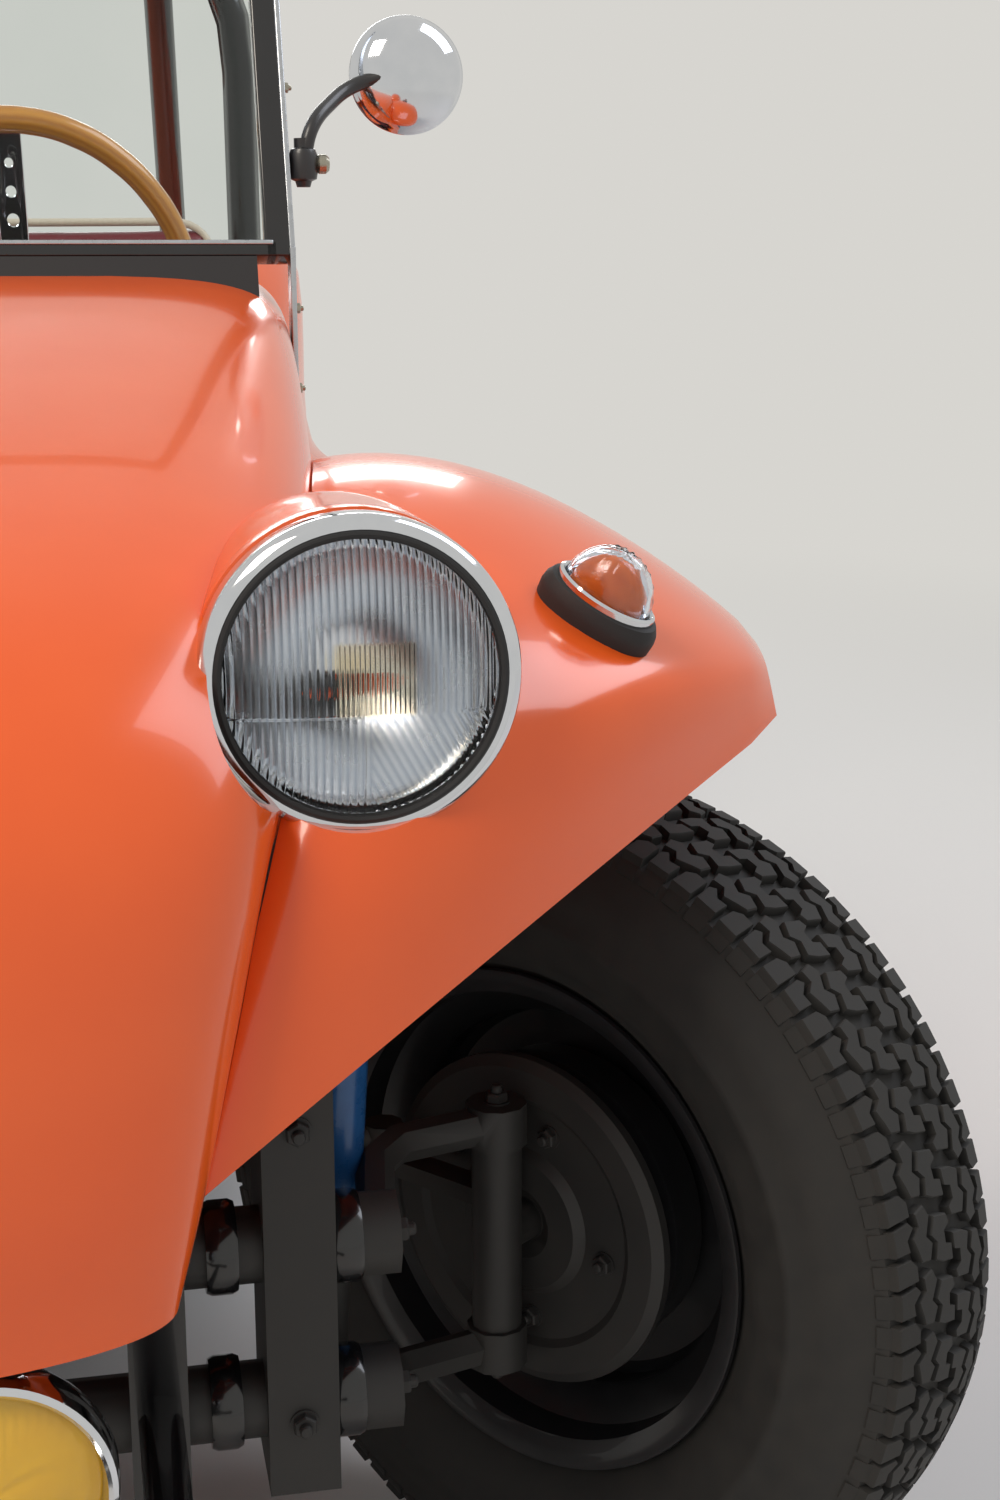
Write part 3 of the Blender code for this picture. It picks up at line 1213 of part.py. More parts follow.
# Transaxle with swing axles
# columns: radius (of its largest), place along the case
GEARBOX_SHARES = (
    (0.27, 0.00), (0.37, 0.10), (0.57, 0.35), (0.70, 0.62), (1.00, 0.80), (1.00, 1.00),
)
GEARBOX_RADIUS = 0.150
GEARBOX_FRONT_Y = TORSION_Y + TORSION_RADIUS + FIT
GEARBOX_LENGTH = 0.470
REAR_STUB_X = REAR_WHEEL_X + 0.005
REAR_PLATE_X = REAR_WHEEL_X - 0.080


def build_gearbox():
    """Tapered case with an axle tube, backing plate and stub to each side."""
    run = [(radius * GEARBOX_RADIUS, share * GEARBOX_LENGTH) for radius, share in GEARBOX_SHARES]
    profile = [(0, GEARBOX_LENGTH), *reversed(run), (0, 0)]
    case = turned(profile, Matrix.Translation((0, GEARBOX_FRONT_Y, TORSION_Z))
                  @ Matrix.Rotation(-math.pi / 2, 4, "X"), 14)
    pieces = []
    for side in (1, -1):
        pieces.append(rod((0, REAR_AXLE_Y, REAR_TYRE_RADIUS),
                          (side * REAR_PLATE_X, REAR_AXLE_Y, REAR_TYRE_RADIUS), AXLE_TUBE_RADIUS, 12))
        pieces.append(rod((side * (REAR_PLATE_X - OVERRUN), REAR_AXLE_Y, REAR_TYRE_RADIUS),
                          (side * REAR_STUB_X, REAR_AXLE_Y, REAR_TYRE_RADIUS), SPINDLE_RADIUS, 14))
        pieces.append(rod((side * (REAR_PLATE_X - PLATE_THICK), REAR_AXLE_Y, REAR_TYRE_RADIUS),
                          (side * REAR_PLATE_X, REAR_AXLE_Y, REAR_TYRE_RADIUS), PLATE_RADIUS, 16))
    rename(fuse(case, *pieces), "gearbox", CAST)


build_gearbox()

# Flat-four engine behind the axle
ENGINE_FRONT_Y = GEARBOX_FRONT_Y + GEARBOX_LENGTH + FIT
ENGINE_LENGTH = 0.400
ENGINE_HALF = 0.120
ENGINE_HEIGHT = 0.230
ENGINE_Z = 0.400
BARREL_RADIUS = 0.062
BARREL_HALF = 0.330
FIN_THICK = 0.010
FINS = 3
SHROUD_HALF = 0.330
SHROUD_DEPTH = 0.130
SHROUD_TOP = 0.770
PULLEY_RADIUS = 0.072
PULLEY_THICK = 0.016
DYNAMO_RADIUS = 0.048
DYNAMO_Z = 0.640
FAN_RADIUS = 0.120
# columns: out (share of the housing's half width), up (share of its height)
SHROUD_SHARES = (
    (1.00, 0.00), (1.00, 0.22), (0.86, 0.40), (0.60, 0.62), (0.44, 0.86), (0.26, 0.97), (0.0, 1.0),
)


def fins(side, y):
    """Cooling fins round one barrel, between the case and its head."""
    room = (BARREL_HALF - BARREL_RADIUS / 2 - ENGINE_HALF) / FINS
    for i in range(FINS):
        x = ENGINE_HALF + (i + 0.5) * room
        yield rod((side * x, y, ENGINE_Z), (side * (x + FIN_THICK), y, ENGINE_Z),
                  BARREL_RADIUS * 1.28, 8)


def build_engine():
    """Finned flat-four with its heads and pulley, and the fan housing with the dynamo."""
    case = box((2 * ENGINE_HALF, ENGINE_LENGTH, ENGINE_HEIGHT),
               (0, ENGINE_FRONT_Y + ENGINE_LENGTH / 2, ENGINE_Z), ENGINE_HALF / 5)
    pieces = []
    for row in (0.26, 0.70):
        y = ENGINE_FRONT_Y + row * ENGINE_LENGTH
        pieces.append(rod((-BARREL_HALF, y, ENGINE_Z), (BARREL_HALF, y, ENGINE_Z), BARREL_RADIUS, 8))
        pieces += [*fins(1, y), *fins(-1, y)]
    for side in (1, -1):
        pieces.append(box((BARREL_RADIUS, ENGINE_LENGTH * 0.86, ENGINE_HEIGHT * 0.62),
                          (side * BARREL_HALF, ENGINE_FRONT_Y + ENGINE_LENGTH * 0.48, ENGINE_Z),
                          BARREL_RADIUS / 5))
    back = ENGINE_FRONT_Y + ENGINE_LENGTH
    nose = rod((0, back - OVERRUN, ENGINE_Z), (0, back + PULLEY_THICK, ENGINE_Z), PULLEY_RADIUS / 3, 12)
    pulley = rod((0, back + PULLEY_THICK / 2, ENGINE_Z), (0, back + 3 * PULLEY_THICK / 2, ENGINE_Z),
                 PULLEY_RADIUS, 20)
    rename(fuse(case, nose, pulley, *pieces), "engine", CAST)

    shroud_y = ENGINE_FRONT_Y + SHROUD_DEPTH / 2 + OVERRUN
    low = ENGINE_Z + ENGINE_HEIGHT / 2 + FIT
    right = [(x * SHROUD_HALF, low + z * (SHROUD_TOP - low)) for x, z in SHROUD_SHARES]
    outline = right + [(-x, z) for x, z in reversed(right[:-1])]
    sheet = plate(outline, SHROUD_DEPTH,
                  Matrix.Translation((0, shroud_y, 0)) @ Matrix.Rotation(math.pi / 2, 4, "X"))
    face = shroud_y + SHROUD_DEPTH / 2
    drum = rod((0, face - OVERRUN, DYNAMO_Z), (0, face + FIN_THICK, DYNAMO_Z), FAN_RADIUS, 20)
    dynamo = rod((0, face, DYNAMO_Z), (0, back - PULLEY_THICK, DYNAMO_Z), DYNAMO_RADIUS, 16)
    wheel = rod((0, back - OVERRUN, DYNAMO_Z), (0, back + PULLEY_THICK, DYNAMO_Z),
                DYNAMO_RADIUS * 1.15, 16)
    rename(fuse(sheet, drum, dynamo, wheel), "fan_housing", BLACK_STEEL)


build_engine()

# Exhaust across the tail
MUFFLER_RADIUS = 0.065
MUFFLER_HALF = 0.300
MUFFLER_Y = ENGINE_FRONT_Y + ENGINE_LENGTH + OVERRUN + MUFFLER_RADIUS + RUN
MUFFLER_Z = 0.330
TAIL_RADIUS = 0.024


def build_exhaust():
    """Muffler with its header pipes and two tail pipes."""
    drum = rod((-MUFFLER_HALF, MUFFLER_Y, MUFFLER_Z), (MUFFLER_HALF, MUFFLER_Y, MUFFLER_Z),
               MUFFLER_RADIUS, 14)
    pipes = []
    for side in (1, -1):
        head = (side * BARREL_HALF, ENGINE_FRONT_Y + ENGINE_LENGTH * 0.91 + FIT, ENGINE_Z)
        path = [head, (side * BARREL_HALF, MUFFLER_Y, ENGINE_Z),
                (side * MUFFLER_HALF / 2, MUFFLER_Y, MUFFLER_Z)]
        pipes.append(pipe(rounded(path, MUFFLER_RADIUS / 2, 3), TAIL_RADIUS, 1))
        pipes.append(rod((side * MUFFLER_HALF / 3, MUFFLER_Y, MUFFLER_Z),
                         (side * MUFFLER_HALF / 3, MUFFLER_Y + 2 * MUFFLER_RADIUS, MUFFLER_Z),
                         TAIL_RADIUS, 10))
    rename(fuse(drum, *pipes), "exhaust", CHROME)


build_exhaust()

# Rear guard: a rail from the horns round the tail, with a hoop above and one below
GUARD_RADIUS = 0.019
GUARD_HALF = 0.400
GUARD_BACK_Y = MUFFLER_Y + MUFFLER_RADIUS + OVERRUN
GUARD_HOOP_HALF = 0.330
GUARD_TOP = 0.720
GUARD_LOW = 0.230


def build_guard():
    """One rail with two hoops standing on its back run."""
    start = HORN_END_Y + GUARD_RADIUS + FIT
    rail = [(-HORN_X, start, HORN_END_Z), (-GUARD_HALF, start + GUARD_RADIUS, HORN_END_Z),
            (-GUARD_HALF, GUARD_BACK_Y, HORN_END_Z), (GUARD_HALF, GUARD_BACK_Y, HORN_END_Z),
            (GUARD_HALF, start + GUARD_RADIUS, HORN_END_Z), (HORN_X, start, HORN_END_Z)]
    guard = pipe(rounded(rail, HOOP_BEND, 3), GUARD_RADIUS, 1)
    for end_z in (GUARD_TOP, GUARD_LOW):
        hoop = [(-GUARD_HOOP_HALF, GUARD_BACK_Y, HORN_END_Z), (-GUARD_HOOP_HALF, GUARD_BACK_Y, end_z),
                (GUARD_HOOP_HALF, GUARD_BACK_Y, end_z), (GUARD_HOOP_HALF, GUARD_BACK_Y, HORN_END_Z)]
        guard = fuse(guard, pipe(rounded(hoop, HOOP_BEND / 2, 3), GUARD_RADIUS * 0.9, 1))
    rename(guard, "rear_guard", BLACK_STEEL)


build_guard()

# Round tail lamps on the rear fenders
TAIL_LAMP_CENTRE = Vector((0.600, REAR_AXLE_Y + 0.400, 0.880))
TAIL_LAMP_RADIUS = 0.042
TAIL_LAMP_DEPTH = 0.060


def tail_lamp():
    """Drum-shaped lamp standing out of the fender's back."""
    profile = [(0, 1.0), (0.6, 0.93), (0.95, 0.7), (1.0, 0.5), (1.0, -1.0), (0, -1.0)]
    spots = [(r * TAIL_LAMP_RADIUS, z * TAIL_LAMP_DEPTH) for r, z in profile]
    body = turned(spots, Matrix.Translation(TAIL_LAMP_CENTRE)
                  @ Matrix.Rotation(-math.pi / 2, 4, "X"), 18)
    return without_offcuts(cut(body, skin(rear_fender_rows(), REAR_FENDER_INSIDE, FIT, 2 * KEEP_DEPTH)))


back_lamp = rename(tail_lamp(), "tail_lamp_left", RED)
mirrored(back_lamp, "tail_lamp_right", RED)

# Gear lever on the tunnel
LEVER_Y = FRONT_AXLE_Y + 0.900
LEVER_LENGTH = 0.300
LEVER_RADIUS = 0.007
KNOB_RADIUS = 0.022


def build_lever():
    """Cranked gear lever in its base on the tunnel."""
    base = PAN_TOP + TUNNEL_HEIGHT + PAN_SHEET / 2 + FIT
    foot = rod((0, LEVER_Y, base), (0, LEVER_Y, base + OVERRUN), TUNNEL_HALF / 2, 16)
    tip = Vector((0, LEVER_Y + LEVER_LENGTH / 4, base + LEVER_LENGTH))
    stick = rod((0, LEVER_Y, base + OVERRUN / 2), tip, LEVER_RADIUS, 8)
    knob = turned([(0, KNOB_RADIUS), (KNOB_RADIUS * 0.7, KNOB_RADIUS * 0.7), (KNOB_RADIUS, 0),
                   (KNOB_RADIUS * 0.7, -KNOB_RADIUS * 0.7), (0, -KNOB_RADIUS)],
                  Matrix.Translation(tip), 10)
    rename(fuse(foot, stick, knob), "gear_lever", BLACK_STEEL)


build_lever()
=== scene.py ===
import math

import bmesh
import bpy
from mathutils import Matrix, Vector


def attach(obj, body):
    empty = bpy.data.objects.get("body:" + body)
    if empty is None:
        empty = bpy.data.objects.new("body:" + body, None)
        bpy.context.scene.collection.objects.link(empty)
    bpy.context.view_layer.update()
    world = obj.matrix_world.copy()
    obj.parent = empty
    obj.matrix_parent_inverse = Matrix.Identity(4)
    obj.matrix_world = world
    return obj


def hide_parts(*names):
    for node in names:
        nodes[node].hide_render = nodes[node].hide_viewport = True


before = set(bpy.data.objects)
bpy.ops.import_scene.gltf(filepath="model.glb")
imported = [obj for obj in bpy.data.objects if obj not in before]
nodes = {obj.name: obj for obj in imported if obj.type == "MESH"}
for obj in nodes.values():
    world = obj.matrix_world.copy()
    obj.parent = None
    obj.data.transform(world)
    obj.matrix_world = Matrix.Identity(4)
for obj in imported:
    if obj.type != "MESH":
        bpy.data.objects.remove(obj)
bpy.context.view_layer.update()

# Camera: the photograph's own place and lens, a little in front of the nose and looking
# down over the left front corner of the car.
FRONT_AXLE_Y = -1.196
REAR_AXLE_Y = FRONT_AXLE_Y + 2.05
turn, dip = math.radians(11.8), math.radians(13.2)
right = Vector((math.cos(turn), -math.sin(turn), 0))
ahead = Vector((math.sin(turn) * math.cos(dip), math.cos(turn) * math.cos(dip), -math.sin(dip)))
up = right.cross(ahead)
camera = bpy.data.objects.new("camera", bpy.data.cameras.new("camera"))
camera.data.lens = 49.992
camera.data.sensor_width = 36
camera.matrix_world = Matrix((
    (right.x, up.x, -ahead.x, 0.294),
    (right.y, up.y, -ahead.y, FRONT_AXLE_Y - 1.482),
    (right.z, up.z, -ahead.z, 1.095),
    (0, 0, 0, 1),
)) @ Matrix.Rotation(math.radians(-0.15), 4, "Z")
bpy.context.scene.collection.objects.link(camera)
bpy.context.scene.camera = camera
bpy.context.scene.view_settings.view_transform = "Standard"


# Studio: a pale painted floor under a pale room, with one large soft lamp high on the
# right, a wide weaker one from the left and a strip behind that picks out the edges.
def linear(code):
    """An sRGB hex colour as the linear colour that a shader reads."""
    parts = [int(code[i:i + 2], 16) / 255 for i in (1, 3, 5)]
    return [c / 12.92 if c <= 0.04045 else ((c + 0.055) / 1.055) ** 2.4 for c in parts] + [1.0]


def add(tree, kind, settings=(), links=()):
    """A node with its settings, and the outputs that feed its inputs."""
    node = tree.nodes.new(kind)
    for name, value in dict(settings).items():
        if isinstance(name, int) or name in node.inputs:
            node.inputs[name].default_value = value
        else:
            setattr(node, name, value)
    for name, output in dict(links).items():
        tree.links.new(output, node.inputs[name])
    return node


def deselect():
    """Nothing selected and no edit mode, so that the next operator acts on its own piece."""
    if bpy.context.object and bpy.context.object.mode != "OBJECT":
        bpy.ops.object.mode_set(mode="OBJECT")
    bpy.ops.object.select_all(action="DESELECT")


WALL_TONE = linear("#D9D7D2")
WALL_LIGHT = 0.98
deselect()
bpy.ops.mesh.primitive_circle_add(vertices=64, radius=45, fill_type="NGON", location=(0, 0, -0.001))
floor = bpy.context.object
floor.name = "studio_floor"
paint = bpy.data.materials.new("pale_floor_paint")
paint.use_nodes = True
tree = paint.node_tree
shader = tree.nodes["Principled BSDF"]
shader.inputs["Base Color"].default_value = linear("#DEDCD7")
shader.inputs["Roughness"].default_value = 0.75
place = add(tree, "ShaderNodeTexCoord")
span = add(tree, "ShaderNodeVectorMath", {"operation": "LENGTH"}, {0: place.outputs["Object"]})
far = add(tree, "ShaderNodeMapRange", {"From Min": 1.6, "From Max": 6.0,
    "interpolation_type": "SMOOTHSTEP"}, {"Value": span.outputs["Value"]})
haze = add(tree, "ShaderNodeEmission", {"Color": WALL_TONE, "Strength": WALL_LIGHT})
both = add(tree, "ShaderNodeMixShader", {}, {0: far.outputs[0], 1: shader.outputs[0], 2: haze.outputs[0]})
tree.links.new(both.outputs[0], tree.nodes["Material Output"].inputs["Surface"])
floor.data.materials.append(paint)

world = bpy.data.worlds.new("studio")
bpy.context.scene.world = world
world.use_nodes = True
tree = world.node_tree
ray = add(tree, "ShaderNodeLightPath")
seen = add(tree, "ShaderNodeMath", {"operation": "MAXIMUM"},
           {0: ray.outputs["Is Camera Ray"], 1: ray.outputs["Is Glossy Ray"]})
seen = add(tree, "ShaderNodeMath", {"operation": "MAXIMUM"},
           {0: seen.outputs[0], 1: ray.outputs["Is Transmission Ray"]})
room = tree.nodes["Background"]
room.inputs["Color"].default_value = linear("#E9EBEF")
room.inputs["Strength"].default_value = 0.42
wall = add(tree, "ShaderNodeBackground", {"Color": WALL_TONE, "Strength": WALL_LIGHT})
both = add(tree, "ShaderNodeMixShader", {}, {0: seen.outputs[0], 1: room.outputs[0], 2: wall.outputs[0]})
tree.links.new(both.outputs[0], tree.nodes["World Output"].inputs["Surface"])

# columns: name, place, aim, width, height, power, colour
LAMPS = (
    ("key_lamp", (-2.6, -3.4, 4.6), (0.1, -0.9, 0.6), 2.2, 2.2, 165, "#FFF4E6"),
    ("sky_lamp", (3.6, -0.6, 4.4), (0.2, -0.3, 0.6), 3.0, 3.0, 105, "#EEF3FF"),
    ("rim_lamp", (0.4, 5.2, 3.4), (0.0, 0.6, 0.8), 4.0, 1.2, 90, "#FFFFFF"),
)
for name, place, aim, wide, high, power, colour in LAMPS:
    lamp = bpy.data.objects.new(name, bpy.data.lights.new(name, "AREA"))
    lamp.data.shape = "RECTANGLE"
    lamp.data.size = wide
    lamp.data.size_y = high
    lamp.data.energy = power
    lamp.data.color = linear(colour)[:3]
    lamp.location = place
    lamp.rotation_euler = (Vector(aim) - Vector(place)).to_track_quat("-Z", "Y").to_euler()
    bpy.context.scene.collection.objects.link(lamp)


# Body panels: glass-fibre mouldings 6 mm thick, laid up in polished moulds with the orange
# gelcoat on their face, trimmed at the edges and bolted together with open seams.
def between(a, b, c, d, t):
    """A point between b and c on a smooth curve through four points, evenly paced."""
    ab, bc, cd = ((q - p).length ** 0.5 for p, q in ((a, b), (b, c), (c, d)))
    if bc < 1e-6:
        return b.lerp(c, t)
    start = end = c - b
    if ab > 1e-6:
        start = (c - b) + bc * ((b - a) / ab - (c - a) / (ab + bc))
    if cd > 1e-6:
        end = (c - b) + bc * ((d - c) / cd - (d - b) / (bc + cd))
    return (b * (2 * t ** 3 - 3 * t ** 2 + 1) + start * (t ** 3 - 2 * t ** 2 + t)
            + c * (3 * t ** 2 - 2 * t ** 3) + end * (t ** 3 - t ** 2))


def refined(rows, parts):
    """The rows with more between them, on smooth curves through them all."""
    last = len(rows) - 1
    result = []
    for i in range(last):
        around = [rows[max(i - 1, 0)], rows[i], rows[i + 1], rows[min(i + 2, last)]]
        for step in range(parts):
            result.append([between(*spots, step / parts) for spots in zip(*around)])
    return result + [list(rows[-1])]


def sheet_of(name, rows, inside, thickness=0.006, offset=-1.0, both_sides=False):
    """A smooth moulded wall through rows of points, with inside on its hollow side."""
    bm = bmesh.new()
    grid = [[bm.verts.new(point) for point in row] for row in rows]
    for lower, upper in zip(grid, grid[1:]):
        for a, b, c, d in zip(lower, lower[1:], upper[1:], upper):
            bm.faces.new((a, b, c, d))
    if both_sides:
        bmesh.ops.mirror(bm, geom=bm.verts[:] + bm.edges[:] + bm.faces[:], axis="X", merge_dist=1e-4)
    bmesh.ops.remove_doubles(bm, verts=bm.verts, dist=1e-5)
    bmesh.ops.recalc_face_normals(bm, faces=bm.faces)
    facing = sum(face.normal.dot(face.calc_center_median() - Vector(inside)) for face in bm.faces)
    if facing < 0:
        bmesh.ops.reverse_faces(bm, faces=bm.faces)
    mesh = bpy.data.meshes.new(name)
    bm.to_mesh(mesh)
    bm.free()
    panel = bpy.data.objects.new(name, mesh)
    bpy.context.scene.collection.objects.link(panel)
    wall = panel.modifiers.new("wall", "SOLIDIFY")
    wall.thickness = thickness
    wall.offset = offset
    wall.use_even_offset = True
    return panel


def applied(piece, angle=35):
    """Every modifier of a piece applied, and its faces smooth but for sharp edges."""
    deselect()
    bpy.context.view_layer.objects.active = piece
    piece.select_set(True)
    for modifier in list(piece.modifiers):
        bpy.ops.object.modifier_apply(modifier=modifier.name)
    bpy.ops.object.shade_smooth_by_angle(angle=math.radians(angle))
    piece.select_set(False)
    return piece


def trimmed(panel, *cutters):
    """The panel with the cutters' space taken out of it, and the cutters gone."""
    for cutter in cutters:
        step = panel.modifiers.new("trim", "BOOLEAN")
        step.operation = "DIFFERENCE"
        step.solver = "EXACT"
        step.object = cutter
    applied(panel)
    for cutter in cutters:
        bpy.data.objects.remove(cutter, do_unlink=True)
    return panel


def largest(panel):
    """Only the biggest of a panel's loose parts, without the offcuts of trimming."""
    bm = bmesh.new()
    bm.from_mesh(panel.data)
    left, bodies = set(bm.verts), []
    while left:
        body, edge = set(), [left.pop()]
        while edge:
            vert = edge.pop()
            body.add(vert)
            for other in (e.other_vert(vert) for e in vert.link_edges):
                if other in left:
                    left.remove(other)
                    edge.append(other)
        bodies.append(body)
    bodies.sort(key=len)
    for body in bodies[:-1]:
        bmesh.ops.delete(bm, geom=list(body), context="VERTS")
    bm.to_mesh(panel.data)
    bm.free()
    return panel


def moved_copy(piece, name, place):
    """A copy with its own mesh, standing at another place or mirrored."""
    twin = piece.copy()
    twin.data = piece.data.copy()
    twin.name = name
    bpy.context.scene.collection.objects.link(twin)
    twin.data.transform(place)
    if place.determinant() < 0:
        twin.data.flip_normals()
    return twin


slot_of = {}


def finish(piece, material, *replaced, body="chassis", slot=None):
    """Give a piece its material and body, and say which CAD nodes it stands for; the slot is not used."""
    piece.data.materials.clear()
    piece.data.materials.append(material)
    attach(piece, body)
    if replaced:
        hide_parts(*replaced)
    slot = slot_of.get(material.name) if slot is None else slot
    return piece


def both(stem, piece, material, node=None):
    """A left-hand piece and its mirror image, both finished; node is the stem of the CAD
    pair that they stand for."""
    piece.name = stem + "left"
    finish(piece, material, *([node + "left"] if node else []))
    twin = moved_copy(piece, stem + "right", Matrix.Diagonal((-1, 1, 1, 1)))
    finish(twin, material, *([node + "right"] if node else []))
    return piece, twin


def surface(name, slot, light, dark, rough, grain_mm, bump_mm=0.0, metal=0.0, spread=0.2, **sockets):
    """A finish whose colour, roughness and height wander over a grain of a real size."""
    material = bpy.data.materials.new(name)
    slot_of[material.name] = slot
    material.use_nodes = True
    tree = material.node_tree
    shader = tree.nodes["Principled BSDF"]
    shader.inputs["Metallic"].default_value = metal
    for socket, value in sockets.items():
        shader.inputs[socket.replace("_", " ")].default_value = value
    place = add(tree, "ShaderNodeTexCoord")
    noise = add(tree, "ShaderNodeTexNoise", {"Scale": 1000 / grain_mm, "Detail": 3.0},
                {"Vector": place.outputs["Object"]})
    tone = add(tree, "ShaderNodeMix", {"data_type": "RGBA", 6: linear(dark), 7: linear(light)},
               {0: noise.outputs["Fac"]})
    tree.links.new(tone.outputs[2], shader.inputs["Base Color"])
    sheen = add(tree, "ShaderNodeMapRange",
                {"To Min": rough * (1 - spread), "To Max": min(rough * (1 + spread), 1.0)},
                {"Value": noise.outputs["Fac"]})
    tree.links.new(sheen.outputs[0], shader.inputs["Roughness"])
    if bump_mm:
        relief = add(tree, "ShaderNodeBump", {"Strength": 1.0, "Distance": bump_mm / 1000},
                     {"Height": noise.outputs["Fac"]})
        tree.links.new(relief.outputs[0], shader.inputs["Normal"])
    return material


# Polyester gelcoat, moulded and polished: an even orange, deep gloss, with the faint slow
# waviness that hand-laid panels show in their reflections.
gelcoat = surface("orange_gelcoat", "orange_gelcoat", "#F56420", "#EE5A18", 0.2, 90, 0.25, spread=0.15,
                  Coat_Weight=0.45, Coat_Roughness=0.04)

COWL_HALF = 0.50
COWL_HEIGHT = 1.065
NOSE_Y = FRONT_AXLE_Y - 0.462
HOOD_LENGTH = 1.062
HOOD_TUCK = 0.030
# columns: centre back, centre height, edge out, edge back, edge height (shares of the hood's
# length, the cowl's height and its half width), squareness, tuck angle
HOOD_SHARES = (
    (0.009, 0.481, 0.670, 0.054, 0.498, 0.80, 0),
    (0.000, 0.563, 0.704, 0.070, 0.549, 0.75, 0),
    (0.009, 0.657, 0.750, 0.104, 0.624, 0.70, 0),
    (0.044, 0.751, 0.796, 0.138, 0.700, 0.65, 20),
    (0.120, 0.826, 0.850, 0.214, 0.751, 0.58, 60),
    (0.247, 0.885, 0.900, 0.322, 0.784, 0.50, 90),
    (0.482, 0.950, 0.956, 0.510, 0.809, 0.38, 90),
    (0.812, 1.020, 1.000, 0.812, 0.840, 0.22, 90),
    (1.000, 1.032, 1.012, 1.000, 0.845, 0.20, 90),
)


def arch(centre_y, centre_z, edge_x, edge_y, edge_z, square, steps=26):
    """Half a crowned section from the centre line to its edge."""
    row = []
    for step in range(steps + 1):
        swing = math.pi / 2 * (step / steps) ** (0.55 + 0.45 * square)
        out = math.sin(swing) ** square
        drop = 1 - math.cos(swing) ** square if step < steps else 1.0
        row.append(Vector((edge_x * out, centre_y + (edge_y - centre_y) * drop,
                           centre_z + (edge_z - centre_z) * drop)))
    return row


def hood_rows(tuck_steps=3):
    rows = []
    for back, high, out, edge_back, edge_up, square, tuck in HOOD_SHARES:
        row = arch(NOSE_Y + back * HOOD_LENGTH, high * COWL_HEIGHT, out * COWL_HALF,
                   NOSE_Y + edge_back * HOOD_LENGTH, edge_up * COWL_HEIGHT, square)
        lean = math.radians(tuck)
        fall = Vector((0, math.cos(lean), -math.sin(lean))) * HOOD_TUCK
        row += [row[-1] + fall * (i + 1) / tuck_steps for i in range(tuck_steps)]
        rows.append(row)
    return refined(rows, 6)


FENDER_OUT = 0.80
FENDER_HEIGHT = 0.93
FENDER_SPAN = 0.50
FENDER_CROWN = 0.062
# columns: inner x, y, z; outer x, y, z (x of the fender's reach out, y of its span about the
# axle, z of its height); crown forward and up (of its crown)
FENDER_SHARES = (
    ((0.425, -0.772, 0.616), (0.990, -0.165, 0.828), (-0.58, 0.32)),
    ((0.500, -0.624, 0.801), (0.984, -0.148, 0.862), (-1.00, 0.40)),
    ((0.519, -0.556, 0.856), (0.986, -0.118, 0.872), (-1.06, 0.46)),
    ((0.530, -0.300, 0.930), (0.998, 0.010, 0.880), (-0.48, 0.89)),
    ((0.560, 0.040, 0.995), (1.004, 0.160, 0.873), (0.00, 1.00)),
    ((0.595, 0.400, 1.000), (1.008, 0.440, 0.833), (0.00, 1.00)),
    ((0.612, 0.720, 0.952), (1.008, 0.740, 0.715), (0.48, 0.81)),
    ((0.625, 0.940, 0.801), (1.000, 0.930, 0.538), (0.73, 0.32)),
    ((0.650, 1.090, 0.580), (0.962, 1.050, 0.376), (0.48, 0.00)),
    ((0.655, 1.150, 0.365), (0.925, 1.090, 0.344), (0.32, 0.00)),
)
TIP_ROUND = 0.040


def fender_rows():
    """Bowed rows from the body to the lip, drawn in at the tip's rounded corner."""
    steps = 30
    rows = []
    for inner, outer, bow in FENDER_SHARES:
        start = Vector((inner[0] * FENDER_OUT, FRONT_AXLE_Y + inner[1] * FENDER_SPAN,
            inner[2] * FENDER_HEIGHT))
        end = Vector((outer[0] * FENDER_OUT, FRONT_AXLE_Y + outer[1] * FENDER_SPAN,
            outer[2] * FENDER_HEIGHT))
        lift = Vector((0, bow[0], bow[1])) * FENDER_CROWN
        rows.append([start.lerp(end, i / steps) + lift * math.sin(math.pi * i / steps) ** 0.7
                     for i in range(steps + 1)])
    rows = refined(rows, 7)
    run = 0.0
    for i, row in enumerate(rows):
        if i:
            run += (row[-1] - rows[i - 1][-1]).length
        if run < TIP_ROUND:
            reach = (row[-1] - row[0]).length
            keep = 1 - TIP_ROUND / reach * (1 - math.sqrt(1 - (1 - run / TIP_ROUND) ** 2))
            line = row[:]
            for k in range(len(row)):
                spot = k * keep
                low = min(int(spot), len(row) - 2)
                row[k] = line[low].lerp(line[low + 1], spot - low)
    return rows


SIDE_HALF = 0.60
SIDE_HEIGHT = 0.96
SIDE_FRONT_Y = FRONT_AXLE_Y + 0.420
SIDE_LENGTH = 1.195
SIDE_ROLL = 0.045
# columns: back (of the side's length); top x, z, sill x, z, bottom x, z (x of the side's half
# width, z of its height)
SIDE_SHARES = (
    (0.000, 0.833, 0.888, 0.858, 0.625, 0.833, 0.375),
    (0.120, 0.847, 0.888, 0.900, 0.604, 0.883, 0.344),
    (0.270, 0.900, 0.802, 0.975, 0.563, 0.967, 0.330),
    (0.445, 0.933, 0.688, 1.017, 0.521, 1.000, 0.324),
    (0.695, 0.933, 0.677, 1.017, 0.521, 1.000, 0.324),
    (0.860, 0.913, 0.792, 1.000, 0.542, 0.983, 0.328),
    (1.000, 0.883, 1.000, 0.967, 0.573, 0.950, 0.333),
)


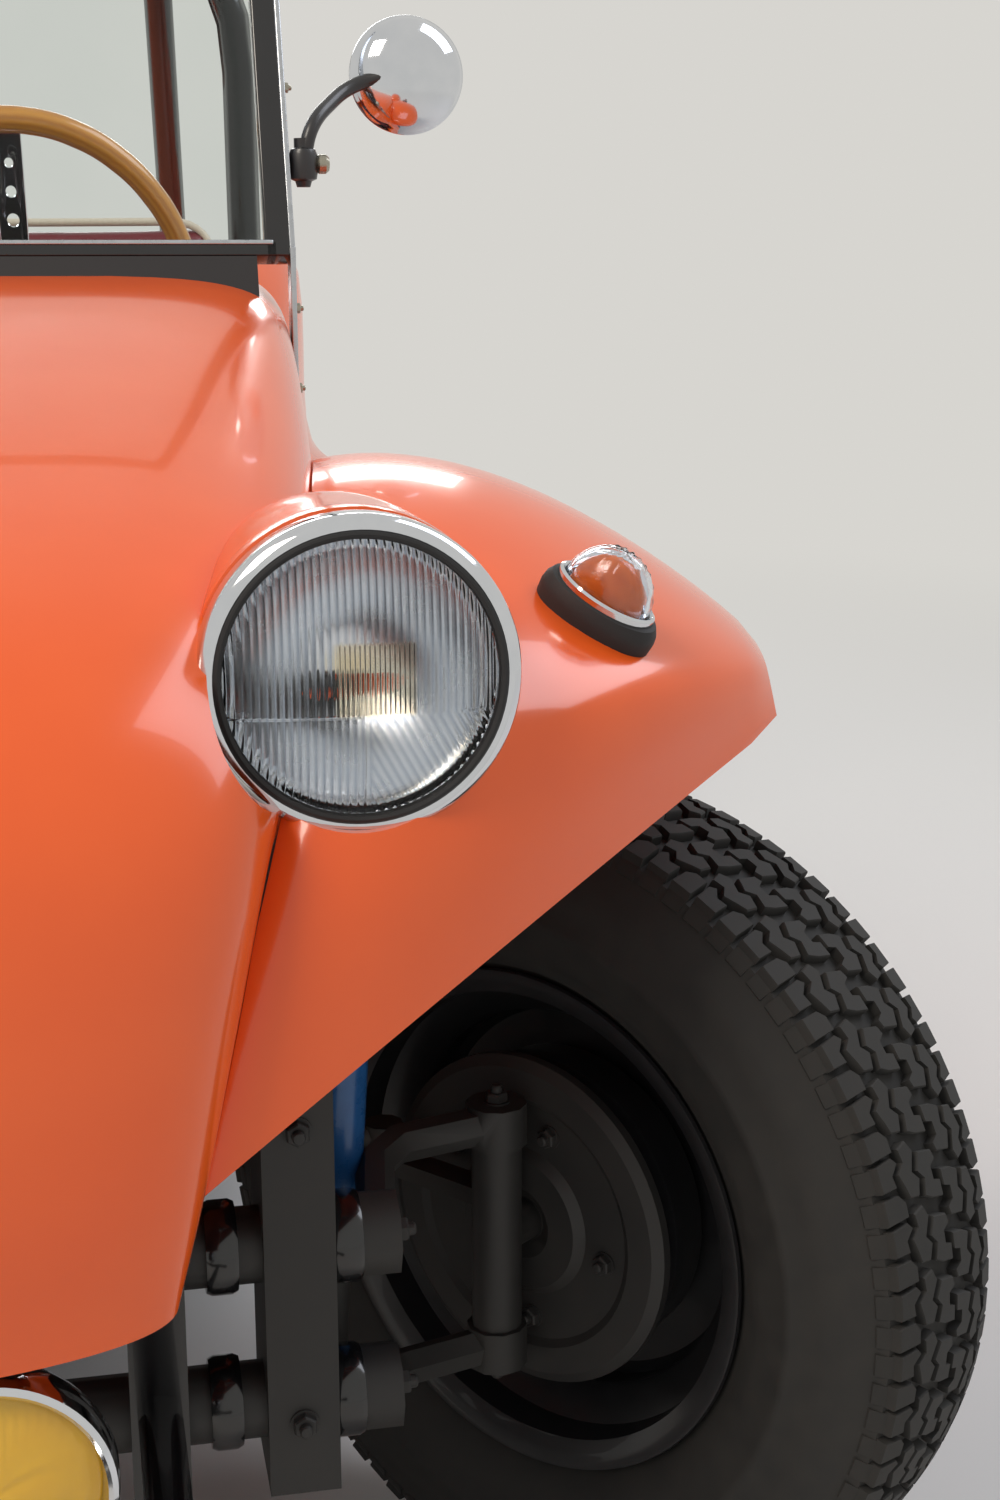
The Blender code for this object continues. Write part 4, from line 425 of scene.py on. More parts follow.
def side_rows():
    rows = []
    for back, top_x, top_z, sill_x, sill_z, low_x, low_z in SIDE_SHARES:
        y = SIDE_FRONT_Y + back * SIDE_LENGTH
        top = Vector((top_x * SIDE_HALF, y, top_z * SIDE_HEIGHT))
        sill = Vector((sill_x * SIDE_HALF, y, sill_z * SIDE_HEIGHT))
        low = Vector((low_x * SIDE_HALF, y, low_z * SIDE_HEIGHT))
        roll = [top + Vector((-SIDE_ROLL * share, 0, -SIDE_ROLL * drop))
                for share, drop in ((1.0, 0.30), (0.6, 0.02), (0.22, -0.02))]
        rows.append([*roll, top - Vector((0, 0, 0.006)), top.lerp(sill, 0.4), sill, low])
    columns = refined([list(column) for column in zip(*refined(rows, 7))], 4)
    return [list(row) for row in zip(*columns)]


DECK_HALF = 0.52
DECK_HEIGHT = 1.125
DECK_FRONT_Y = FRONT_AXLE_Y + 1.618
DECK_LENGTH = 0.765
# columns as the hood's, of the deck's length, height and half width
DECK_SHARES = (
    (0.000, 0.950, 0.985, 0.000, 0.330, 0.34),
    (0.130, 0.980, 1.000, 0.130, 0.330, 0.35),
    (0.370, 1.000, 1.000, 0.370, 0.540, 0.38),
    (0.600, 0.982, 0.971, 0.600, 0.640, 0.40),
    (0.830, 0.925, 0.923, 0.830, 0.650, 0.45),
    (1.000, 0.860, 0.885, 1.000, 0.640, 0.50),
)


def deck_rows():
    return refined([arch(DECK_FRONT_Y + back * DECK_LENGTH, high * DECK_HEIGHT, out * DECK_HALF,
                         DECK_FRONT_Y + edge_back * DECK_LENGTH, edge_up * DECK_HEIGHT, square)
                    for back, high, out, edge_back, edge_up, square in DECK_SHARES], 8)


REAR_FENDER_OUT = 0.85
REAR_FENDER_HEIGHT = 1.19
REAR_FENDER_SPAN = 0.54
# columns: place along the fender (of its span about the axle); then x and z of the inner
# edge, crest, shoulder, waist, flare and lip (of its reach out and its height)
REAR_FENDER_SHARES = (
    (-1.00, (0.580, 0.620, 0.650, 0.690, 0.720, 0.745), (0.700, 0.640, 0.560, 0.450, 0.345, 0.250)),
    (-0.80, (0.560, 0.640, 0.700, 0.735, 0.780, 0.850), (0.790, 0.800, 0.710, 0.570, 0.450, 0.395)),
    (-0.52, (0.540, 0.660, 0.745, 0.785, 0.850, 0.955), (0.850, 0.915, 0.850, 0.655, 0.590, 0.560)),
    (-0.20, (0.530, 0.665, 0.785, 0.820, 0.880, 0.995), (0.860, 0.975, 0.930, 0.680, 0.638, 0.612)),
    (0.10, (0.525, 0.665, 0.795, 0.825, 0.885, 1.000), (0.860, 0.975, 0.935, 0.680, 0.638, 0.612)),
    (0.42, (0.520, 0.655, 0.770, 0.805, 0.870, 0.975), (0.820, 0.915, 0.870, 0.670, 0.618, 0.588)),
    (0.72, (0.510, 0.615, 0.705, 0.750, 0.815, 0.900), (0.740, 0.790, 0.745, 0.620, 0.570, 0.540)),
    (0.92, (0.490, 0.550, 0.620, 0.675, 0.730, 0.785), (0.660, 0.670, 0.640, 0.570, 0.535, 0.515)),
)


def rear_fender_rows():
    rows = []
    for along, outs, ups in REAR_FENDER_SHARES:
        y = REAR_AXLE_Y + along * REAR_FENDER_SPAN
        rows.append([Vector((out * REAR_FENDER_OUT, y, high * REAR_FENDER_HEIGHT))
                     for out, high in zip(outs, ups)])
    columns = refined([list(column) for column in zip(*refined(rows, 7))], 6)
    return [list(row) for row in zip(*columns)]


LAMP_CENTRE = Vector((0.459, FRONT_AXLE_Y - 0.298, 0.859))
LAMP_HOLE_RADIUS = 0.0905
LAMP_HOLE_DEPTH = 0.30
LAMP_HOLE_LEAD = 0.090


def lamp_hole(side):
    """The round seat that each headlamp bowl drops into."""
    deselect()
    spot = (side * LAMP_CENTRE.x, LAMP_CENTRE.y - LAMP_HOLE_LEAD, LAMP_CENTRE.z)
    bpy.ops.mesh.primitive_cylinder_add(vertices=64, radius=LAMP_HOLE_RADIUS, depth=LAMP_HOLE_DEPTH,
        location=spot, rotation=(math.pi / 2, 0, 0))
    return bpy.context.object


HOOD_INSIDE = (0, FRONT_AXLE_Y, COWL_HEIGHT / 2)
SIDE_INSIDE = (0, SIDE_FRONT_Y + SIDE_LENGTH / 2, SIDE_HEIGHT / 2)
DECK_INSIDE = (0, DECK_FRONT_Y + DECK_LENGTH / 2, DECK_HEIGHT / 2)
hood = sheet_of("hood_moulding", hood_rows(), HOOD_INSIDE, both_sides=True)
hood = largest(trimmed(hood, lamp_hole(1), lamp_hole(-1)))
finish(hood, gelcoat, "hood_panel")

hood_space = sheet_of("hood_space", hood_rows(), HOOD_INSIDE, 0.009, -0.70, both_sides=True)
fender = sheet_of("fender", fender_rows(), (0.60, FRONT_AXLE_Y, 0.348))
fender = largest(trimmed(fender, hood_space, lamp_hole(1)))
both("front_fender_moulding_", fender, gelcoat, "front_fender_")

side = applied(sheet_of("side", side_rows(), SIDE_INSIDE))
both("cockpit_side_", side, gelcoat, "body_side_")

deck = applied(sheet_of("rear_deck_moulding", deck_rows(), DECK_INSIDE, both_sides=True))
finish(deck, gelcoat, "rear_deck")

deck_space = sheet_of("deck_space", deck_rows(), DECK_INSIDE, 0.010, 0.0, both_sides=True)
haunch = sheet_of("haunch", rear_fender_rows(), (0.70, REAR_AXLE_Y, 0.354))
haunch = largest(trimmed(haunch, deck_space))
both("rear_fender_moulding_", haunch, gelcoat, "rear_fender_")


# Headlamps: a seven-inch chromed steel bowl with a rolled rim, a rubber ring, a silvered
# reflector with its bulb, and a pressed glass lens with flutes moulded in its face.
def at(spot):
    """The place of a piece moved to a spot."""
    return Matrix.Translation(spot)


def spun(degrees, axis):
    """The place of a piece turned about an axis."""
    return Matrix.Rotation(math.radians(degrees), 4, axis)


# a piece drawn upwards that points to the car's nose
FORWARD = spun(90, "X")


def turned(name, profile, place=Matrix(), steps=64, angle=30):
    """A round piece grown ring by ring from a (radius, height) profile, then placed."""
    deselect()
    radius, height = profile[0]
    bpy.ops.mesh.primitive_circle_add(vertices=steps, radius=max(radius, 1e-5), location=(0, 0, 0))
    piece = bpy.context.object
    piece.name = name
    bpy.ops.object.mode_set(mode="EDIT")
    bpy.ops.mesh.select_all(action="SELECT")
    bpy.ops.transform.translate(value=(0, 0, height))
    for next_radius, next_height in profile[1:]:
        next_radius = max(next_radius, 1e-5)
        bpy.ops.mesh.extrude_edges_move(TRANSFORM_OT_translate={"value": (0, 0, next_height - height)})
        ratio = next_radius / max(radius, 1e-5)
        bpy.ops.transform.resize(value=(ratio, ratio, 1))
        radius, height = next_radius, next_height
    bpy.ops.mesh.select_all(action="SELECT")
    bpy.ops.mesh.remove_doubles(threshold=3e-5)
    bpy.ops.mesh.normals_make_consistent(inside=False)
    bpy.ops.object.mode_set(mode="OBJECT")
    piece.data.transform(place)
    if place.determinant() < 0:
        piece.data.flip_normals()
    return applied(piece, angle)


def arc(radius, depth, start, end, steps, height=0.0):
    """Profile points over part of an ellipse, from one angle to another in degrees."""
    spots = [math.radians(start + (end - start) * i / steps) for i in range(steps + 1)]
    return [(radius * math.sin(a), height + depth * math.cos(a)) for a in spots]


# Chromium plate on polished steel: near-white metal, mirror-like, with light hazing.
chrome = surface("chromium_plate", "chrome", "#E4E6EA", "#D2D6DC", 0.07, 25, metal=1.0, spread=0.5)
# Silvered reflector behind glass: dimmer and softer than the rim.
silvering = surface("silvered_reflector", "chrome", "#FBFDFF", "#E9EFF6", 0.26, 18, metal=1.0)
# Extruded and moulded rubber: near black, dull, finely pitted and a little greyed.
rubber = surface("black_rubber", "seal_rubber", "#242426", "#161617", 0.62, 3, 0.08)

LENS_RADIUS = 0.0822


def pressed_glass():
    """Clear pressed glass whose flutes are upright above, fine in the middle block and
    slanted below; drawn as a ripple in its face, with painted shade darkening its colour in each valley."""
    slot_of["pressed_lamp_glass"] = "lamp_glass"
    material = bpy.data.materials.new("pressed_lamp_glass")
    material.use_nodes = True
    tree = material.node_tree
    shader = tree.nodes["Principled BSDF"]
    shader.inputs["Transmission Weight"].default_value = 1.0
    shader.inputs["Roughness"].default_value = 0.03
    shader.inputs["IOR"].default_value = 1.32
    place = add(tree, "ShaderNodeTexCoord")

    def maths(operation, *terms):
        """One sum over numbers and outputs, in the order that the operation takes them."""
        node = add(tree, "ShaderNodeMath", {"operation": operation})
        for i, term in enumerate(terms):
            if isinstance(term, float):
                node.inputs[i].default_value = term
            else:
                tree.links.new(term, node.inputs[i])
        return node.outputs[0]

    def ripple(source, pitch_mm):
        return maths("SINE", maths("MULTIPLY", source, 2000 * math.pi / pitch_mm))

    def ramp(source, low, top):
        return add(tree, "ShaderNodeMapRange", {"From Min": low, "From Max": top}, {0: source}).outputs[0]

    def mask(source, low, top, soft=0.0012):
        """1 where the source lies between two places, with soft ends."""
        return maths("MULTIPLY", ramp(source, low - soft, low + soft), ramp(source, top + soft, top - soft))

    def blended(factor, first, second):
        return add(tree, "ShaderNodeMix", {"data_type": "FLOAT"},
            {0: factor, 2: first, 3: second}).outputs[0]

    # both lamps share the pattern, measured from the lamp's middle on either side of the car
    cut = add(tree, "ShaderNodeSeparateXYZ", {}, {0: place.outputs["Object"]})
    across = maths("SUBTRACT", maths("ABSOLUTE", cut.outputs["X"]), LAMP_CENTRE.x)
    high = maths("SUBTRACT", cut.outputs["Z"], LAMP_CENTRE.z)
    slant = maths("MULTIPLY_ADD", high, 0.55, across)
    upright, fine, sloped = ripple(across, 4.6), ripple(across, 2.9), ripple(slant, 5.6)
    low_outer = maths("MULTIPLY", mask(high, -0.2, -0.021), mask(across, 0.004, 0.2))
    block = maths("MULTIPLY", mask(across, -0.017, 0.030), mask(high, -0.021, 0.022))
    wave = blended(block, blended(low_outer, upright, sloped), fine)
    # moulded lines: the upright rib below the fine block and the level rib beside it
    rib = maths("MULTIPLY", mask(across, -0.0010, 0.0010, 0.0004), mask(high, -0.079, -0.021))
    level = maths("MULTIPLY", mask(high, -0.0222, -0.0205, 0.0004), mask(across, -0.082, 0.0))
    depth = maths("ADD", wave, maths("MAXIMUM", rib, level))
    relief = add(tree, "ShaderNodeBump", {"Strength": 1.0, "Distance": 0.00038}, {"Height": depth})
    tree.links.new(relief.outputs[0], shader.inputs["Normal"])
    # painted shade: the glass's colour darkens in each valley of the flutes
    valley_shade = add(tree, "ShaderNodeMix", {"data_type": "RGBA", 6: linear("#DDE2EA"), 7: linear("#FFFFFF")},
               {0: ramp(wave, -1.0, 1.0)})
    warm = add(tree, "ShaderNodeMix", {"data_type": "RGBA", 7: linear("#FFF4DC")},
        {0: block, 6: valley_shade.outputs[2]})
    tree.links.new(warm.outputs[2], shader.inputs["Base Color"])
    return material


lamp_glass = pressed_glass()
lamp_place = at(LAMP_CENTRE) @ FORWARD
bowl = turned("bowl", [(0.0, -0.108), (0.040, -0.106), (0.0815, -0.040), (0.0838, -0.008),
    (0.0838, 0.0015), (0.0848, 0.0046), (0.0872, 0.0062), (0.0905, 0.0062), (0.0936, 0.0044),
    (0.0955, 0.0012), (0.0960, -0.004), (0.0958, -0.020), (0.0946, -0.031), (0.0925, -0.036),
    (0.0868, -0.040), (0.0862, -0.058), (0.083, -0.080), (0.073, -0.101), (0.052, -0.116),
    (0.024, -0.1195), (0.0, -0.120)], lamp_place, 96)
both("headlamp_bowl_", bowl, chrome, "headlamp_")
ring = turned("ring", [(0.0816, -0.007), (0.0816, 0.0046), (0.0824, 0.0064), (0.0844, 0.0072),
    (0.0860, 0.0068), (0.0868, 0.0054), (0.0836, 0.0), (0.0836, -0.007), (0.0816, -0.007)], lamp_place,
    96)
both("headlamp_rubber_ring_", ring, rubber)
dish = [(0.080 * math.sqrt(1 - i / 12), -0.009 - 0.060 * i / 12) for i in range(12)]
reflector = turned("reflector", [
    (0.0812, -0.0085), *dish, (0.012, -0.069), (0.0, -0.0695), (0.0, -0.072), (0.014, -0.0715),
    (0.0812, -0.0105), (0.0812, -0.0085)], lamp_place, 96, 60)
both("headlamp_reflector_", reflector, silvering)
bulb = turned("bulb", [
    (0.0, -0.066), (0.0085, -0.066), (0.0085, -0.050), (0.0072, -0.048), (0.0072, -0.042), (0.0050, -0.038),
    (0.0, -0.037)], at(LAMP_CENTRE + Vector((-0.004, 0, -0.016))) @ FORWARD, 32)
both("headlamp_bulb_", bulb, rubber)
lens = turned("lens", [
    *arc(LENS_RADIUS, 0.0150, 0, 86, 14), (LENS_RADIUS - 0.0004, -0.004), (LENS_RADIUS - 0.002, -0.006),
    *reversed(arc(LENS_RADIUS - 0.004, 0.0150, 0, 80, 12, -0.0040))], lamp_place, 96, 50)
both("headlamp_lens_fluted_", lens, lamp_glass, "headlamp_lens_")


# Indicators: an oval ribbed clear lens over an amber bulb cover, held by a bright lip in a
# thick moulded rubber foot that follows the fender's slope.
INDICATOR_LENGTH = 0.086
INDICATOR_HEIGHT = 0.053
INDICATOR_RUN = Vector((0.80, -0.60, 0))
INDICATOR_NARROWING = 0.62
foot_spot, foot_normal = fender.closest_point_on_mesh(Vector((0.640, FRONT_AXLE_Y - 0.166, 0.88)))[1:3]
lengthwise = (INDICATOR_RUN - foot_normal * foot_normal.dot(INDICATOR_RUN)).normalized()
turn = Matrix((lengthwise.cross(foot_normal), lengthwise, foot_normal)).transposed().to_4x4()
indicator_place = at(foot_spot) @ turn @ Matrix.Diagonal((INDICATOR_NARROWING, 1, 1, 1))
# Clear acrylic, moulded: thin, glossy, faintly blue at its edges.
acrylic = surface("clear_acrylic", "amber_lens", "#F4F8FC", "#E6EDF4", 0.04, 30, Transmission_Weight=1.0,
    IOR=1.35)
amber = surface("amber_acrylic", "amber_lens", "#F2772A", "#D95A17", 0.22, 12, Coat_Weight=0.4)


def indicator_ring(profile, steps, angle=30):
    """A round piece from shares of the indicator's half length and of its height."""
    sizes = [(r * INDICATOR_LENGTH / 2, z * INDICATOR_HEIGHT) for r, z in profile]
    return turned("ring", sizes, indicator_place, steps, angle)


foot = indicator_ring([(0, -0.10), (1, -0.10), (1.02, 0.10), (1, 0.20), (0.93, 0.30), (0.86, 0.32),
    (0.80, 0.30), (0, 0.30)], 40)
both("indicator_rubber_foot_", foot, rubber, "indicator_")
lip = indicator_ring([(0.76, 0.28), (0.76, 0.39), (0.80, 0.42), (0.85, 0.39), (0.85, 0.28), (0.76, 0.28)],
    40)
both("indicator_bright_lip_", lip, chrome)
core = indicator_ring([*arc(0.64, 0.58, 0, 90, 8, 0.30), (0, 0.30)], 32)
both("indicator_amber_core_", core, amber)
cover = indicator_ring([*arc(0.75, 0.66, 0, 92, 12, 0.34), (0.70, 0.31),
    *reversed(arc(0.68, 0.61, 0, 90, 10, 0.34))], 72, 60)
unplaced = indicator_place.inverted()
for vert in cover.data.vertices:
    spot = unplaced @ vert.co
    if spot.z > 0.5 * INDICATOR_HEIGHT and spot.y > -0.15 * INDICATOR_LENGTH:
        vert.co += indicator_place.to_3x3() @ Vector((0, 0, 0.0009 * math.sin(spot.y * 1100)))
both("indicator_ribbed_lens_", cover, acrylic)


# Tyres: moulded rubber with a cross-country pattern of interlocking blocks, buttressed
# shoulders and plain walls with a fine raised band; dust sits in the grooves.
STEER_REST = 38.8
KINGPIN_X = 0.60
HUB_OFFSET = 0.10
REAR_WHEEL_X = 0.700
RIM_LIP = 0.208
ALONG_X = spun(90, "Y")
# columns: outer radius, section width, tread width, rim width
FRONT_TYRE = (0.348, 0.176, 0.136, 0.142)
REAR_TYRE = (0.354, 0.235, 0.190, 0.190)
BLOCK_HEIGHT = 0.0085
PITCHES = 46
# One pitch of the tread: outlines as (place round the pitch, place across the half tread), in
# shares, for the middle block, the next one out, the shoulder block and the buttress below it.
TREAD_BLOCKS = (
    ((0.04, 0.02), (0.30, 0.02), (0.36, 0.14), (0.58, 0.14), (0.66, 0.02), (0.80, 0.05), (0.88, 0.30),
     (0.62, 0.40), (0.46, 0.30), (0.20, 0.36), (0.10, 0.22)),
    ((0.24, 0.45), (0.48, 0.38), (0.64, 0.48), (0.94, 0.37), (1.12, 0.44), (1.06, 0.60), (0.84, 0.58),
     (0.70, 0.70), (0.46, 0.64), (0.28, 0.60)),
    ((0.04, 0.68), (0.28, 0.68), (0.42, 0.76), (0.42, 0.99), (0.02, 0.99)),
    ((0.52, 0.76), (0.72, 0.78), (0.88, 0.66), (0.98, 0.72), (0.94, 0.96), (0.52, 0.96)),
)


def crown(radius, tread, share):
    """The tread's radius at a share of its half width, falling to the shoulder."""
    return radius - BLOCK_HEIGHT * (0.05 + 0.95 * abs(share) ** 2.6)


def tyre(name, size, place):
    radius, width, tread, rim = size
    base = [(crown(radius, tread, i / 6) - BLOCK_HEIGHT, tread / 2 * i / 6) for i in range(7)]
    wall = [(radius - 3.2 * BLOCK_HEIGHT, tread / 2 * 1.03), (radius - 5 * BLOCK_HEIGHT, width * 0.475),
            (radius - 7.5 * BLOCK_HEIGHT, width * 0.497), (radius - 9.6 * BLOCK_HEIGHT, width * 0.500),
            (radius - 9.9 * BLOCK_HEIGHT, width * 0.508), (radius - 10.6 * BLOCK_HEIGHT, width * 0.508),
            (radius - 10.9 * BLOCK_HEIGHT, width * 0.498), (RIM_LIP + 0.026, width * 0.478),
            (RIM_LIP + 0.016, rim / 2 + 0.006), (RIM_LIP + 0.006, rim / 2 + 0.001),
            (RIM_LIP + 0.002, rim / 2 - 0.006), (0.192, rim / 2 - 0.014)]
    half = list(reversed(base + wall))
    profile = half + [(r, -x) for r, x in reversed(half)][1:]
    carcass = turned(name, profile + profile[:1], Matrix(), 96, 45)
    bm = bmesh.new()
    bm.from_mesh(carcass.data)
    step = 2 * math.pi / PITCHES
    for pitch in range(PITCHES):
        for flip in (1, -1):
            for outline in TREAD_BLOCKS:
                rings = []
                for lift, inset in ((-0.6, 0.0), (0.80, 0.02), (0.94, 0.075)):
                    middle_u = sum(u for u, v in outline) / len(outline)
                    middle_v = sum(v for u, v in outline) / len(outline)
                    ring = []
                    for u, v in outline:
                        u += (middle_u - u) * inset
                        v += (middle_v - v) * inset
                        turn = (pitch + (u if flip > 0 else 1.5 - u)) * step
                        far = crown(radius, tread, v) + (lift - 1) * BLOCK_HEIGHT
                        ring.append(bm.verts.new((far * math.cos(turn), far * math.sin(turn),
                            flip * v * tread / 2)))
                    rings.append(ring)
                for lower, upper in zip(rings, rings[1:]):
                    for i in range(len(lower)):
                        k = (i + 1) % len(lower)
                        bm.faces.new((lower[i], lower[k], upper[k], upper[i]))
                bm.faces.new(rings[-1])
                bm.faces.new(list(reversed(rings[0])))
            # the buttress bar that runs down the shoulder below every other block
            for u, size_u in ((0.04, 0.36), (0.54, 0.38)):
                ring = []
                for du in (0, size_u):
                    turn = (pitch + (u + du if flip > 0 else 1.5 - u - du)) * step
                    for drop, out in ((0.9, 0.92), (1.5, 1.0), (3.0, 1.05), (3.4, 0.98)):
                        far = radius - drop * BLOCK_HEIGHT - (0.0 if out > 1.0 else 0.004)
                        ring.append(bm.verts.new((far * math.cos(turn), far * math.sin(turn),
                            flip * tread / 2 * out)))
                a, b = ring[:4], ring[4:]
                for i in range(4):
                    k = (i + 1) % 4
                    bm.faces.new((a[i], a[k], b[k], b[i]))
                bm.faces.new(a)
                bm.faces.new(list(reversed(b)))
    bmesh.ops.recalc_face_normals(bm, faces=bm.faces)
    bm.to_mesh(carcass.data)
    bm.free()
    carcass.data.transform(place @ ALONG_X)
    return applied(carcass, 38)


def steered(side, offset):
    """A place beside a kingpin that turns with the steering, with +X outboard."""
    outboard = Matrix() if side > 0 else spun(180, "Z")
    return (at((side * KINGPIN_X, FRONT_AXLE_Y, 0)) @ spun(STEER_REST, "Z")
            @ at((side * offset, 0, FRONT_TYRE[0])) @ outboard)


def hub_place(side, end):
    """Where a wheel stands: turned with the steering in front, straight behind."""
    if end == "front":
        return steered(side, HUB_OFFSET)
    outboard = Matrix() if side > 0 else spun(180, "Z")
    return at((side * REAR_WHEEL_X, REAR_AXLE_Y, REAR_TYRE[0])) @ outboard


# Vulcanised tread rubber: dull black, browned a little by dust.
tread_rubber = surface("tread_rubber", "tyre_rubber", "#34322F", "#1B1B1B", 0.78, 22, 0.25, spread=0.12)
SIDES = ((1, "left"), (-1, "right"))
for size, end in ((FRONT_TYRE, "front"), (REAR_TYRE, "rear")):
    for side, word in SIDES:
        wheel = end + "_" + word
        finish(tyre("treaded_tyre_" + wheel, size, hub_place(side, end)), tread_rubber, "tyre_" + wheel,
               body="wheel_" + wheel)


# Wheels: pressed steel in satin black, with rolled lips, a dropped well and a dished disc
# pierced with round holes; five bolts hold each one, and a chromed cap closes the hub.
RIM_SEAT = 0.1905
RIM_WELL = 0.165
DRUM_RADIUS = 0.125
HUB_CAP_RADIUS = 0.040
WHEEL_HOLES = 8
WHEEL_BOLTS = 5
# the disc's place outboard of the rim's middle, as a share of its half width
DISC_SHARE = 0.25
DISC_FACETS = 96


def joined(name, *pieces):
    """Several loose pieces made one object."""
    deselect()
    for piece in pieces:
        piece.select_set(True)
    bpy.context.view_layer.objects.active = pieces[0]
    bpy.ops.object.join()
    whole = bpy.context.object
    whole.name = name
    whole.select_set(False)
    return whole


# Stoved enamel on pressed steel: soft black sheen with a fine orange-peel ripple.
black_enamel = surface("black_stoved_enamel", "black_steel", "#2B2B2D", "#1E1E20", 0.38, 14, 0.06,
    Coat_Weight=0.25)
# Brake and axle castings: dark paint dulled by road dust that gathers in broad patches.
dusty_black = surface("dusty_chassis_paint", "black_steel", "#3A3835", "#232324", 0.58, 60, 0.1)


def hexagon_bolt():
    """A ten-millimetre bolt: washer, chamfered hexagon and the end of its thread."""
    washer = turned("bolt", [(0.0, 0.0), (0.0105, 0.0), (0.0105, 0.0016), (0.0, 0.0016)], steps=24)
    head = turned("head", [(0.0, 0.0014), (0.0090, 0.0014), (0.0090, 0.0070), (0.0078, 0.0084),
        (0.0, 0.0084)], steps=6)
    thread = turned("thread", [(0.0048, 0.0080), (0.0048, 0.0125), (0.0038, 0.0140), (0.0, 0.0145)],
        steps=12)
    return joined("bolt", washer, head, thread)


bolt = hexagon_bolt()


def facing(spot, direction):
    """The place of a piece drawn along +Z, moved to a spot and turned to a direction."""
    return at(spot) @ Vector(direction).to_track_quat("Z", "Y").to_matrix().to_4x4()


def bolt_set(name, material, spots, size=1.0, body="chassis"):
    """Copies of the bolt at (place, direction) pairs, as one piece."""
    copies = [moved_copy(bolt, name, facing(*spot) @ Matrix.Scale(size, 4)) for spot in spots]
    finish(joined(name, *copies), material, body=body, slot="")


def pressed_wheel(half, disc_z):
    """Barrel, pierced disc, brake drum and bolts of one wheel, drawn with outboard up."""
    outside = [(RIM_LIP - 0.001, -half), (RIM_LIP, -half + 0.003), (0.198, -half + 0.008),
        (RIM_SEAT, -half + 0.013), (RIM_SEAT - 0.002, -half + 0.034), (RIM_WELL + 0.003, -half * 0.28),
        (RIM_WELL, -half * 0.2), (RIM_WELL, half * 0.35), (RIM_WELL + 0.003, half * 0.42),
        (RIM_SEAT - 0.002, half - 0.030), (RIM_SEAT, half - 0.013), (0.198, half - 0.008),
        (RIM_LIP, half - 0.003), (RIM_LIP - 0.001, half)]
    inside = [(RIM_LIP - 0.004, half), (0.195, half - 0.0045), (0.1865, half - 0.010),
        (0.1845, half - 0.032), (RIM_WELL - 0.003, half * 0.38), (RIM_WELL - 0.006, half * 0.33),
        (RIM_WELL - 0.006, -half * 0.18), (RIM_WELL - 0.003, -half * 0.24), (0.1845, -half + 0.036),
        (0.1865, -half + 0.010), (0.195, -half + 0.0045), (RIM_LIP - 0.004, -half)]
    barrel = turned("wheel", outside + inside + outside[:1], steps=96)
    face = [(RIM_WELL - 0.0055, disc_z - 0.004), (0.152, disc_z + 0.004), (0.138, disc_z + 0.006),
        (0.118, disc_z + 0.004), (0.098, disc_z - 0.002), (0.080, disc_z - 0.003),
        (0.060, disc_z + 0.002), (0.052, disc_z + 0.010), (0.044, disc_z + 0.012), (0.0, disc_z + 0.012)]
    back = [(0.0, disc_z + 0.006), (0.046, disc_z + 0.006), (0.056, disc_z - 0.004),
        (0.080, disc_z - 0.009), (0.118, disc_z - 0.002), (0.138, disc_z), (0.152, disc_z - 0.002),
        (RIM_WELL - 0.0055, disc_z - 0.010)]
    # half a facet round, so that no facet's edge runs through a hole's corner
    disc = turned("disc", face + back + face[:1], spun(180 / DISC_FACETS, "Z"), DISC_FACETS)
    holes = []
    for i in range(WHEEL_HOLES):
        turn = spun(360 * i / WHEEL_HOLES, "Z")
        holes.append(turned("hole", [(0.0, -0.05), (0.012, -0.05), (0.012, 0.05), (0.0, 0.05)],
                            turn @ at((0.100, 0, disc_z)) @ Matrix.Diagonal((0.75, 1.5, 1, 1)), 24))
    disc = trimmed(disc, *holes)
    drum = turned("drum", [(0.0, disc_z - 0.010), (DRUM_RADIUS - 0.006, disc_z - 0.010),
                           (DRUM_RADIUS, disc_z - 0.015), (DRUM_RADIUS, disc_z - 0.040),
                           (DRUM_RADIUS + 0.003, disc_z - 0.042), (DRUM_RADIUS + 0.003, disc_z - 0.054),
                           (DRUM_RADIUS - 0.003, disc_z - 0.055), (0.0, disc_z - 0.055)], steps=72)
    nuts = []
    for i in range(WHEEL_BOLTS):
        place = spun(360 * i / WHEEL_BOLTS, "Z") @ at((0.068, 0, disc_z)) @ Matrix.Scale(1.15, 4)
        nuts.append(moved_copy(bolt, "nut", place))
    return joined("wheel", barrel, disc, drum, *nuts)


def hub_cap(disc_z):
    return turned("cap", [(0.0, disc_z + 0.040), (0.014, disc_z + 0.0395), (0.027, disc_z + 0.036),
        (0.036, disc_z + 0.029), (HUB_CAP_RADIUS, disc_z + 0.018), (HUB_CAP_RADIUS, disc_z + 0.008),
        (0.043, disc_z + 0.0125), (0.0, disc_z + 0.008)], steps=48)


for (*sizes, rim), end in ((FRONT_TYRE, "front"), (REAR_TYRE, "rear")):
    disc_z = rim / 2 * DISC_SHARE
    pressing, cap = pressed_wheel(rim / 2, disc_z), hub_cap(disc_z)
    for side, word in SIDES:
        place = hub_place(side, end) @ ALONG_X
        wheel = end + "_" + word
        finish(moved_copy(pressing, "pressed_wheel_" + wheel, place), black_enamel, "rim_" + wheel,
               body="wheel_" + wheel, slot="wheel_steel")
        finish(moved_copy(cap, "hub_cap_" + wheel, place), chrome, body="wheel_" + wheel)
    bpy.data.objects.remove(pressing, do_unlink=True)
    bpy.data.objects.remove(cap, do_unlink=True)


